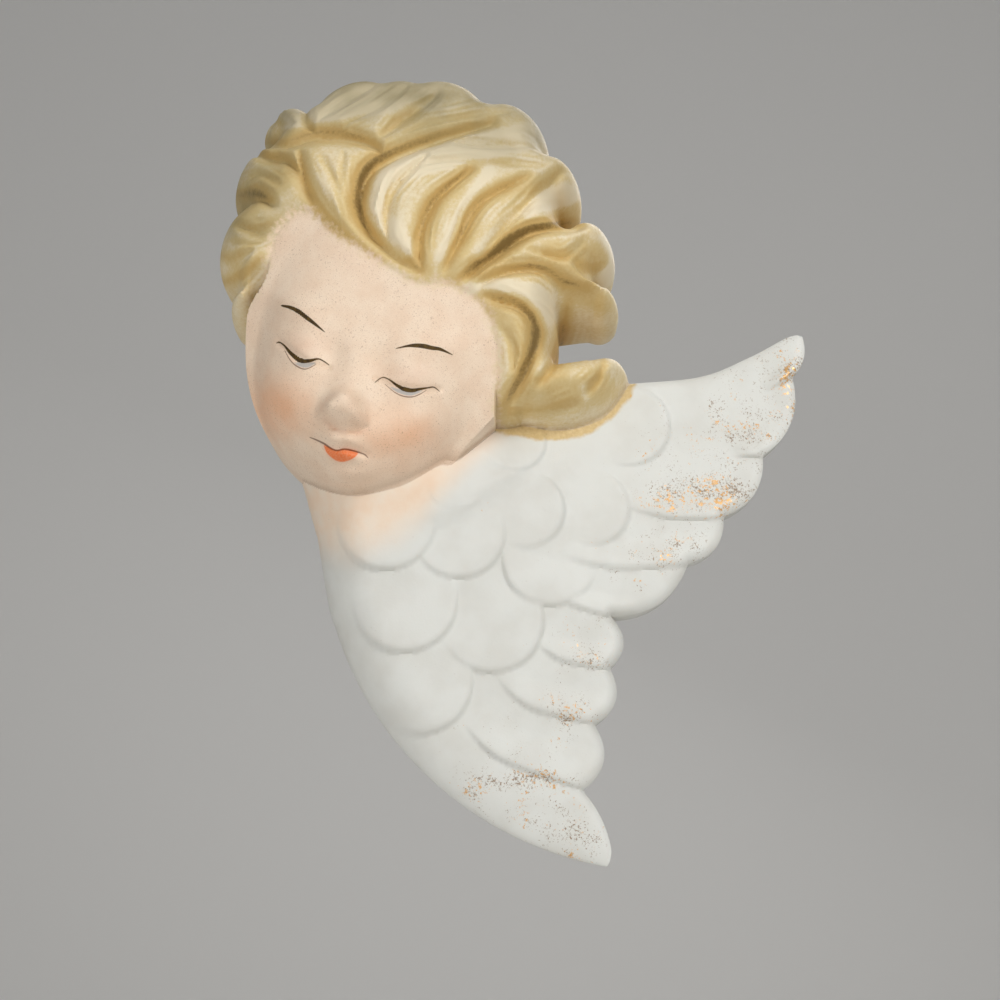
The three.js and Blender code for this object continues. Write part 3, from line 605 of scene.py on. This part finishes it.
def close_back(piece):
    """The steep wall down to the parting line, the rounded back edge, and the flat back."""
    bpy.ops.mesh.select_all(action="SELECT")
    bpy.ops.mesh.remove_doubles(threshold=FRONT_MERGE * MM)
    select_open_edges()
    for i in range(1, WALL_RINGS + 1):
        next_ring(piece, down_wall, WALL_START * (1 - i / WALL_RINGS) ** 2)
    drawn_in = 0.0
    for turn in BACK_TURNS:
        inset = BACK_ROUND * (1 - cos(turn))
        next_ring(piece, round_back, inset - drawn_in, BACK_ROUND * (1 - sin(turn)))
        drawn_in = inset
        bpy.ops.mesh.remove_doubles(threshold=BACK_MERGE * MM)
        select_open_edges()
    fill_back(piece)


def fill_back(piece):
    """Fills the flat back inside the open edge, round the blind hanging hole."""
    shape = bmesh.from_edit_mesh(piece.data)
    open_edges = [edge for edge in shape.edges if edge.is_boundary]
    turns = np.arange(HOLE_SIDES) * 2 * pi / HOLE_SIDES

    def circle(y):
        across = HOLE_X + HOLE_RADIUS * np.cos(turns)
        up = HOLE_Z + HOLE_RADIUS * np.sin(turns)
        return [shape.verts.new((x * MM, y * MM, z * MM)) for x, z in zip(across, up)]
    mouth, floor = circle(0.0), circle(-HOLE_DEPTH)
    sides = [(i, (i + 1) % HOLE_SIDES) for i in range(HOLE_SIDES)]
    for i, k in sides:
        shape.faces.new([mouth[i], mouth[k], floor[k], floor[i]])
    shape.faces.new(floor)
    corners = list(dict.fromkeys(vert for edge in open_edges for vert in edge.verts)) + mouth
    order = {vert: i for i, vert in enumerate(corners)}
    lines = [tuple(order[vert] for vert in edge.verts) for edge in open_edges]
    lines += [(order[mouth[i]], order[mouth[k]]) for i, k in sides]
    flat = [Vector((vert.co.x, vert.co.z)) / MM for vert in corners]
    points, _, triangles, sources, _, _ = delaunay_2d_cdt(flat, lines, [], 1, 1e-6)
    for triangle in triangles:
        middle = sum((points[i] for i in triangle), Vector((0, 0))) / 3
        if hypot(middle.x - HOLE_X, middle.y - HOLE_Z) > HOLE_RADIUS:
            shape.faces.new([corners[sources[i][0]] for i in triangle])
    bmesh.update_edit_mesh(piece.data)


piece = relief_front()
close_back(piece)
bpy.ops.mesh.select_all(action="SELECT")
bpy.ops.mesh.normals_make_consistent(inside=False)
bpy.ops.object.mode_set(mode="OBJECT")
bpy.ops.object.shade_smooth_by_angle(angle=SMOOTH_ANGLE)
piece.name = "plaque_relief"
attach(piece, "root")
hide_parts(NODE)


# Painted lines and areas of the face, as drawn on the face plane: path and half widths
BROWS = [
    stroke([[-25.1, 0.3], [-23.8, 0], [-22.6, -0.6], [-21.3, -1.6], [-19.8, -2.8], [-18.5, -3.9]],
           [0.14, 0.28, 0.36, 0.34, 0.22, 0.04]),
    stroke([[-7.9, -6.5], [-6.2, -6.1], [-5, -6], [-3.7, -6.1], [-2.4, -6.4], [-1.2, -6.6], [0.7, -7.5]],
           [0.04, 0.18, 0.32, 0.37, 0.34, 0.26, 0.04]),
]
LASHES = [
    stroke([[-25.6, -5.6], [-25.2, -5.5], [-24.4, -6.1], [-23.5, -7.2], [-22.1, -8.3], [-20.7, -8.4],
            [-19.4, -8.1], [-18.5, -8.5], [-17.7, -9.1]],
           [0.13, 0.1, 0.14, 0.27, 0.42, 0.28, 0.12, 0.1, 0.06]),
    stroke([[-10.9, -11.8], [-9.8, -11], [-8.8, -11.3], [-7.6, -12.2], [-6.5, -12.8], [-5.3, -13],
            [-4.2, -12.8], [-3, -12.6], [-2.1, -12.5], [-1.2, -13.2]],
           [0.06, 0.09, 0.1, 0.22, 0.36, 0.32, 0.2, 0.11, 0.1, 0.04]),
]
LOWER_LIDS = [
    stroke([[-24.4, -6.8], [-23.6, -8.2], [-22.6, -9.2], [-21.2, -9.7], [-19.6, -8.9]],
           [0.05, 0.08, 0.1, 0.09, 0.04]),
    stroke([[-9.4, -12], [-7.9, -13.3], [-6.6, -13.9], [-5.3, -14], [-4.2, -13.6], [-3.1, -12.9]],
           [0.04, 0.07, 0.1, 0.1, 0.08, 0.04]),
]
EYEBALLS = [
    stroke([[-22.9, -8.7], [-22, -9], [-21, -9.1], [-19.8, -8.7]],
           [0.08, 0.3, 0.38, 0.1]),
    stroke([[-8.5, -12.5], [-7.3, -13.1], [-5.6, -13.5], [-3.9, -13.1]],
           [0.1, 0.3, 0.34, 0.1]),
]
LIPS_PARTING = stroke(
    [[-20.3, -20.2], [-19.1, -20.7], [-18.1, -21.2], [-17.1, -21.9], [-16.2, -22.2], [-15, -22],
     [-13.3, -22.4], [-12.2, -22.8], [-11.6, -23.4]],
    [0.06, 0.12, 0.14, 0.13, 0.12, 0.12, 0.11, 0.1, 0.04],
)
LIPS = spline([[-18.3, -21.2], [-17.1, -21.8], [-16.2, -22.1], [-15, -21.9], [-13.2, -22.4], [-13.7, -23.3],
               [-15.1, -23.9], [-16.4, -23.7], [-17.7, -22.6], [-18.3, -21.2]])
BLUSHES = [(-25.3, -15.5, 5.6, 5.6), (-7.2, -20.2, 7.4, 5), (-15, -25.8, 3.5, 2.2), (-15.2, -17.2, 3.4, 2.4)]
BLUSH_STRENGTHS = [0.8, 0.66, 0.2, 0.12]
LID_BLUSHES = [(-21.6, -6, 3.4, 1.6), (-6, -10.6, 3.8, 1.6)]
# Where the glaze lies thick along valleys, and where it is wiped off the ridges: path and half width
GLAZED = [
    stroke(path, [half]) for path, half in [
        ([[3.3, 23.6], [-1.6, 18.6], [-3.8, 12.3], [-4, 6.7]], 2.2),
        ([[12, 21.5], [5, 18.2], [1.8, 11.8], [0, 6]], 2.2), ([[20, 16], [13, 14], [7, 9.4], [2, 5]], 2.6),
        ([[6, 2], [12, -2], [12.5, -8], [9.5, -15]], 3.2),
        ([[16, -4], [15.5, -9], [17, -13], [22, -12]], 3.2), ([[-33, 16], [-29, 19.5], [-26, 22]], 2.6),
        ([[18, 4], [21, 2.6], [23, 1.4]], 2.2), ([[16, 10], [19.5, 7], [22, 9]], 2.6),
    ]
]
WIPED = [
    stroke(path, [half]) for path, half in [
        ([[12, 29], [2, 26.4], [-8, 23], [-11, 16], [-7.6, 10.6]], 2.4),
        ([[6, 23.2], [2, 17], [-1.4, 9]], 0.9),
        ([[3, 4], [10, 4], [14.4, 1.4], [15.6, -4], [13.8, -9]], 1.5),
        ([[14, 18.4], [9.8, 15.8], [4.6, 9.6]], 1.2), ([[-4, 36], [-14, 35], [-24, 33]], 3),
        ([[20, -11.6], [20.6, -13.6]], 0.8), ([[12, 17], [17.6, 19]], 2.2),
        ([[24.2, 12], [25.4, 8], [23, 4.6]], 1.2),
    ]
]
# Gilding that clings to the feather tips: middle, reach in x and z, and how thick it lies
GILDING = [
    (52, -3, 6, 4, 0.6), (54, -8, 3, 6, 0.6), (45, -10, 9, 4, 0.55), (48, -16, 6, 5, 0.6),
    (40, -19, 9, 6, 0.5), (33, -21, 8, 8, 0.35), (37, -26.5, 8, 3, 0.65), (44, -25, 3.5, 4, 0.7),
    (30, -35, 8, 3, 0.55), (36, -33, 5, 4, 0.65), (28, -40, 6, 3, 0.4), (21, -48, 6, 4, 0.65),
    (22, -52, 5, 1.5, 0.6), (18, -57, 7, 3, 0.55), (19, -60, 5, 1.6, 0.75), (15, -64, 8, 3, 0.5),
    (13, -69, 8, 1.6, 0.8), (5, -71, 9, 5, 0.5), (14, -75, 8, 5, 0.6), (20, -79, 5, 5, 0.7),
]
# Hair colour that runs out onto the wing under the lowest locks
SPILL = stroke([[7.4, -14.3], [14, -15.6], [19.8, -15.2], [23.4, -13.4], [26.8, -10.2], [28.6, -7.4]],
               [1.2, 1.2, 1.2, 1.2, 1, 0.6])
# Values stored where a colour doesn't lie, the area in which lines are drawn, the hole's unpainted surround
NO_LINE, OFFSET_LIMIT, BELOW_WING = -3.0, 2.0, 1.6
DRAWN_MIDDLE, DRAWN_REACH = (-12, -12), (18, 16)
HOLE_MARGIN = 0.2


def most_inside(strokes, u, v):
    return np.max([along(one, u, v)[0] for one in strokes], axis=0)


def drawn_line(strokes, u, v):
    """Signed distance from the middle of the nearest stroke, and its half width, below 0 past its ends."""
    nearest, offset, half = np.full(u.shape, FAR), np.full(u.shape, FAR), np.full(u.shape, NO_LINE)
    for line, widths in strokes:
        last = len(line) - 2
        for i in range(last + 1):
            a, step = line[i], line[i + 1] - line[i]
            length = np.hypot(*step)
            s, reached, gap = nearest_on(a, step, u, v)
            past = (i == 0) * np.maximum(-reached, 0) + (i == last) * np.maximum(reached - 1, 0)
            closer = gap < nearest
            nearest = np.where(closer, gap, nearest)
            offset = np.where(closer, (step[0] * (v - a[1]) - step[1] * (u - a[0])) / length, offset)
            width = widths[i] + (widths[i + 1] - widths[i]) * s - past * length
            half = np.where(closer, width + NO_LINE * smooth_step(0.5, 1, gap), half)
    return np.clip(offset, -OFFSET_LIMIT, OFFSET_LIMIT), half


def paint(piece):
    """Writes where each colour lies, on every point: distances in millimetres, or shares from 0 to 1."""
    count = len(piece.data.vertices)
    points = np.empty(count * 3)
    piece.data.vertices.foreach_get("co", points)
    x, depth, z = (points.reshape(-1, 3) / MM).T
    depth = -depth
    fu, fv = seen(x, z, depth, FACE_PLANE)
    hu, hv = seen(x, z, depth, HAIR_PLANE)
    wu, wv = seen(x, z, depth, WING_PLANE)
    opened = inside_ring(FACE_OPENING, *seen(x, z, skull_depth(x, z), FACE_PLANE))
    ex, ez = x.copy(), z.copy()
    at_edge = inside_figure(x, z) < EDGE_REACH
    _, gx, gz = evened_margin(x[at_edge], z[at_edge], EDGE_REACH)
    ex[at_edge] += EDGE_REACH * gx
    ez[at_edge] += EDGE_REACH * gz
    over_wing = head_depth(ex, ez) - wing_depth(ex, ez)
    in_hole = np.hypot(x - HOLE_X, z - HOLE_Z) < HOLE_RADIUS + HOLE_MARGIN
    in_hole &= depth < HOLE_DEPTH + HOLE_MARGIN
    front = smooth_step(0.2, 0.8, depth) * ~in_hole
    grooves = groove_depth(hu, hv) / 3 + 0.12 * (1 - lock_lines(hu, hv))
    grooves += 0.3 * smooth_step(-0.5, 2, most_inside(GLAZED, hu, hv))
    grooves -= 0.4 * smooth_step(-0.5, 1.2, most_inside(WIPED, hu, hv))
    # Painted shade: the top of the hair and the left curls are darkened, as if in half-shadow.
    painted_shade_top_left = smooth_step(20, 36, hv + 0.25 * hu) + 0.7 * smooth_step(-18, -30, hu) * smooth_step(6, 16, hv)
    layers = {
        "opened": np.clip(opened, -6, 6),
        "over_wing": np.clip(over_wing, -BELOW_WING, 8) * front - BELOW_WING * (1 - front),
        "groove": grooves,
        "painted_shade_top_left": np.clip(painted_shade_top_left, 0, 1),
        "eyeball": np.maximum(most_inside(EYEBALLS, fu, fv), NO_LINE),
        "lips": np.maximum(inside_ring(LIPS, fu, fv), NO_LINE),
        # Painted shade along the crease under the nose.
        "nose_crease_shade": smooth_step(-0.3, 0.5, along(NOSE_CREASE, fu, fv)[0]),
        "blush": spots(BLUSHES, fu, fv, BLUSH_STRENGTHS),
        "lid_blush": spots(LID_BLUSHES, fu, fv),
        "neck_blush": front * smooth_step(0.16, -0.16, dome_radius(FACE_DOME, x, z) - 1.2 + 0.012 * (x + 6)),
        "gilding": spots([place[:4] for place in GILDING], wu, wv, [place[4] for place in GILDING]) * front,
        "spill": np.maximum(along(SPILL, wu, wv)[0], NO_LINE) * front + NO_LINE * (1 - front),
    }
    face = (np.abs(fu - DRAWN_MIDDLE[0]) < DRAWN_REACH[0]) & (np.abs(fv - DRAWN_MIDDLE[1]) < DRAWN_REACH[1])
    for name, strokes in (("ink", BROWS + LASHES), ("fine_ink", LOWER_LIDS + [LIPS_PARTING])):
        offset, half = np.full(count, OFFSET_LIMIT), np.full(count, NO_LINE)
        offset[face], half[face] = drawn_line(strokes, fu[face], fv[face])
        layers.update({name + "_offset": offset, name + "_half": half})
    for name, values in layers.items():
        layer = piece.data.attributes.new(name, "FLOAT", "POINT")
        layer.data.foreach_set("value", np.ascontiguousarray(values, np.float32))


paint(piece)


class Nodes:
    """Short forms for the shader nodes that the paint needs."""

    def __init__(self, name):
        self.material = bpy.data.materials.new(name)
        self.material.use_nodes = True
        self.tree = self.material.node_tree
        self.shader = self.tree.nodes["Principled BSDF"]
        self.place = self.new("ShaderNodeTexCoord").outputs["Object"]

    def new(self, kind, **settings):
        node = self.tree.nodes.new(kind)
        for key, value in settings.items():
            setattr(node, key, value)
        return node

    def link(self, value, socket):
        if isinstance(value, bpy.types.NodeSocket):
            self.tree.links.new(value, socket)
        else:
            socket.default_value = value

    def layer(self, name):
        return self.new("ShaderNodeAttribute", attribute_name=name).outputs["Fac"]

    def give(self, name, value):
        self.link(value, self.shader.inputs[name])

    def math(self, operation, a, b=0.0):
        node = self.new("ShaderNodeMath", operation=operation)
        self.link(a, node.inputs[0])
        self.link(b, node.inputs[1])
        return node.outputs[0]

    def plus(self, a, b):
        return self.math("ADD", a, b)

    def minus(self, a, b):
        return self.math("SUBTRACT", a, b)

    def times(self, a, b):
        return self.math("MULTIPLY", a, b)

    def ramp(self, value, low, high, to_low=0.0, to_high=1.0):
        node = self.new("ShaderNodeMapRange", interpolation_type="SMOOTHSTEP")
        for socket, given in zip(node.inputs, (value, low, high, to_low, to_high)):
            self.link(given, socket)
        return node.outputs[0]

    def noise(self, grain, detail=2.0, roughness=0.5):
        """Noise from 0 to 1 whose grain is given in millimetres."""
        node = self.new("ShaderNodeTexNoise")
        self.link(self.place, node.inputs["Vector"])
        node.inputs["Scale"].default_value = 1 / (grain * MM)
        node.inputs["Detail"].default_value = detail
        node.inputs["Roughness"].default_value = roughness
        return node.outputs["Fac"]

    def swing(self, noise, strength):
        """Noise as a swing about zero."""
        return self.times(self.minus(noise, 0.5), strength)

    def mix(self, share, a, b):
        node = self.new("ShaderNodeMix", data_type="RGBA")
        self.link(share, node.inputs[0])
        self.link(a, node.inputs[6])
        self.link(b, node.inputs[7])
        return node.outputs[2]

    def inside_line(self, name):
        """Distance in from the edge of a drawn line."""
        return self.minus(self.layer(name + "_half"), self.math("ABSOLUTE", self.layer(name + "_offset")))


def tone(red, green, blue):
    """A colour given as on a screen, 0 to 255."""
    def linear(value):
        value /= 255
        return value / 12.92 if value <= 0.04045 else ((value + 0.055) / 1.055) ** 2.4
    return linear(red), linear(green), linear(blue), 1


# Softness of a drawn line's edge
INK_EDGE = 0.06


def flesh(n, mottle):
    return n.mix(n.ramp(mottle, 0.3, 0.75), tone(235, 215, 192), tone(229, 204, 179))


def skin_colour(n, mottle, soft, wobble):
    """Flesh with blush, painted shade in the crease under the nose, specks and dust, then lips, eyes, lids,
    lashes and brows.
    """
    def painted(name, edge, swell=0.0):
        return n.ramp(n.plus(n.plus(n.layer(name), wobble), swell), -edge, edge)

    def drawn(name):
        return n.ramp(n.plus(n.inside_line(name), wobble), -INK_EDGE, INK_EDGE)

    blush = n.times(n.layer("blush"), n.ramp(mottle, 0.1, 0.8, 0.8, 1.05))
    specks = n.plus(n.noise(0.2, 1.5), n.times(n.noise(4, 1), 0.12))
    lip_mottle = n.ramp(n.noise(0.3, 2), 0.35, 0.7, 0.78, 1)
    ink = n.mix(n.ramp(soft, 0.35, 0.65), tone(48, 32, 6), tone(82, 60, 14))
    skin = flesh(n, mottle)
    for share, colour in (
        (n.ramp(blush, 0, 1.2, 0, 0.8), tone(234, 160, 104)),
        (n.times(n.layer("lid_blush"), 0.22), tone(206, 162, 138)),
        # Painted shade: warm brown in the crease under the nose.
        (n.times(n.layer("nose_crease_shade"), 0.3), tone(176, 124, 96)),
        (n.ramp(specks, 0.69, 0.78, 0, 0.5), tone(150, 112, 88)),
        (n.ramp(n.noise(0.12, 1.5), 0.35, 0.75, 0, 0.3), tone(200, 166, 138)),
        (n.times(painted("lips", 0.5, 0.2), 0.22), tone(222, 140, 96)),
        (n.times(painted("lips", 0.1), lip_mottle), tone(232, 118, 56)),
        (n.times(painted("eyeball", 0.12), 0.85), tone(168, 166, 164)),
        (n.times(drawn("fine_ink"), 0.75), tone(92, 52, 30)),
        (n.times(drawn("ink"), 0.97), ink),
    ):
        skin = n.mix(share, skin, colour)
    return skin


def hair_colour(n, stipple):
    """Pale bisque on the ridges, thicker ochre and brown glaze down in the grooves, and painted shade, darker
    toward olive, on top and over the left curls.
    """
    cavity = n.plus(n.layer("groove"), n.swing(n.noise(5, 2), 0.4))
    stippled = n.plus(cavity, n.swing(stipple, 0.45))
    hair = tone(226, 212, 182)
    for low, high, glaze in (
        (-0.08, 0.32, tone(210, 187, 135)),
        (0.25, 0.75, tone(198, 166, 104)),
        (0.75, 1.25, tone(128, 104, 58)),
    ):
        hair = n.mix(n.ramp(stippled, low, high), hair, glaze)
    # Painted shade: an olive darkening on top of the hair and over the left curls.
    painted_shade_top_left = n.times(n.layer("painted_shade_top_left"), n.ramp(n.noise(7, 2), 0.3, 0.7, 0.6, 1))
    return n.mix(n.times(painted_shade_top_left, 0.85), hair, tone(128, 116, 78))


def wing_colour(n, mottle, stipple):
    """White bisque, flesh at the neck, and the hair colour spilt onto it."""
    bisque = n.mix(n.ramp(n.noise(6, 3), 0.35, 0.7), tone(214, 214, 208), tone(208, 207, 200))
    neck = n.times(n.layer("neck_blush"), n.ramp(mottle, 0.2, 0.7, 0.7, 1))
    wing = n.mix(neck, bisque, flesh(n, mottle))
    spill = n.ramp(n.plus(n.layer("spill"), n.swing(n.noise(2, 3), 1.4)), -0.35, 0.45)
    ochre = n.mix(stipple, tone(220, 196, 140), tone(184, 150, 88))
    return n.mix(n.times(spill, 0.92), wing, ochre)


def flakes(n, scatter, patches, bare, edge):
    """Where flakes cling: more of them where the gilding lies thick."""
    limit = n.minus(bare, n.times(n.layer("gilding"), 0.2))
    return n.ramp(n.minus(n.plus(scatter, patches), limit), 0, edge)


def bisque_material():
    n = Nodes("painted_bisque")
    mottle = n.noise(3.5, 4)
    soft = n.noise(0.5, 2)
    wobble = n.swing(soft, 0.06)
    stipple = n.noise(0.55, 2.5, 0.65)
    in_hair = n.ramp(n.plus(n.layer("opened"), n.swing(n.noise(0.8, 3, 0.6), 4)), 1, -1.4)
    head = n.mix(in_hair, skin_colour(n, mottle, soft, wobble), hair_colour(n, stipple))
    # Painted shade: the head turns brown toward where it meets the wing, along the crease under the chin and
    # jaw.
    head = n.mix(n.ramp(n.layer("over_wing"), 2.6, -1.2, 0, 0.4), head, tone(138, 102, 72))
    on_head = n.ramp(n.plus(n.layer("over_wing"), n.times(wobble, 3)), -1.5, -0.8)
    off_head = n.minus(1, on_head)
    colour = n.mix(on_head, wing_colour(n, mottle, stipple), head)
    gold = flakes(n, n.noise(0.6, 3, 0.75), n.times(n.noise(4, 3), 0.5), 1.02, 0.06)
    brown = flakes(n, n.noise(0.36, 3, 0.8), n.times(n.noise(3.2, 2), 0.45), 0.97, 0.05)
    gold = n.times(gold, off_head)
    colour = n.mix(n.times(n.times(brown, off_head), 0.8), colour, tone(132, 102, 68))
    colour = n.mix(n.times(gold, 0.9), colour, tone(216, 164, 94))
    rough = n.ramp(n.noise(0.8, 2), 0.3, 0.7, 0.5, 0.62)
    grain = n.plus(n.noise(0.35, 3, 0.6), n.times(n.noise(1.6, 2), 0.8))
    raised = n.new("ShaderNodeBump")
    raised.inputs["Strength"].default_value = 0.35
    raised.inputs["Distance"].default_value = 0.05 * MM
    n.link(grain, raised.inputs["Height"])
    n.give("Base Color", colour)
    n.give("Metallic", n.times(gold, 0.35))
    n.give("Roughness", n.minus(rough, n.times(gold, 0.2)))
    n.give("Specular IOR Level", n.ramp(n.inside_line("ink"), -0.1, 0.1, 0.35, 0.1))
    n.give("Subsurface Weight", 0.1)
    n.give("Subsurface Radius", (1.0, 0.75, 0.6))
    n.give("Subsurface Scale", 1.0 * MM)
    n.give("Normal", raised.outputs[0])
    return n.material


piece.data.materials.clear()
piece.data.materials.append(bisque_material())


def stage_plane(name, size, location, rotation):
    bpy.ops.mesh.primitive_plane_add(size=size, location=location, rotation=rotation)
    plane = bpy.context.object
    plane.name = name
    material = bpy.data.materials.new(name + "_paper")
    material.use_nodes = True
    shader = material.node_tree.nodes["Principled BSDF"]
    shader.inputs["Base Color"].default_value = (0.72, 0.71, 0.69, 1)
    shader.inputs["Roughness"].default_value = 0.9
    plane.data.materials.append(material)


# Stage: a pale floor and backdrop, soft lights in watts, an even grey world
STAGE_SIZE, FLOOR_Z, BACKDROP_Y = 6.0, -0.32, 1.2
WORLD_STRENGTH = 0.24
stage_plane("floor", STAGE_SIZE, (0, 0, FLOOR_Z), (0, 0, 0))
stage_plane("backdrop", STAGE_SIZE, (0, BACKDROP_Y, 0), (pi / 2, 0, 0))


def area_light(name, location, aim, size, power):
    data = bpy.data.lights.new(name, "AREA")
    data.size = size
    data.energy = power
    lamp = bpy.data.objects.new(name, data)
    bpy.context.scene.collection.objects.link(lamp)
    lamp.location = location
    direction = Vector(aim) - Vector(location)
    lamp.rotation_euler = direction.to_track_quat("-Z", "Y").to_euler()


area_light("key", (0.6, -0.75, 0.4), (0, 0, -0.02), 0.35, 5.4)
area_light("fill", (-0.4, -0.95, -0.2), (0, 0, 0), 0.4, 4.9)
area_light("top", (0.2, -0.3, 0.95), (0, 0, 0), 0.4, 1.4)
area_light("back", (0.3, 0.75, 0.6), (0, 0, 0), 0.6, 3.6)
world = bpy.data.worlds.new("studio")
world.use_nodes = True
world.node_tree.nodes["Background"].inputs["Color"].default_value = (1, 1, 1, 1)
world.node_tree.nodes["Background"].inputs["Strength"].default_value = WORLD_STRENGTH
bpy.context.scene.world = world
bpy.context.scene.view_settings.view_transform = "Standard"

# The camera looks up at the plaque a little, from below its middle
CAMERA_LENS, CAMERA_DISTANCE, CAMERA_RISE = 55.0, 0.235, radians(-13)
AIM = (0.0077, -0.010, -0.0269)
camera_data = bpy.data.cameras.new("camera")
camera_data.lens = CAMERA_LENS
camera_data.sensor_width = 36.0
camera_data.clip_start = 0.01
camera = bpy.data.objects.new("camera", camera_data)
bpy.context.scene.collection.objects.link(camera)
camera.location = Vector(AIM) + CAMERA_DISTANCE * Vector((0, -cos(CAMERA_RISE), sin(CAMERA_RISE)))
camera.rotation_euler = (pi / 2 - CAMERA_RISE, 0, 0)
bpy.context.scene.camera = camera
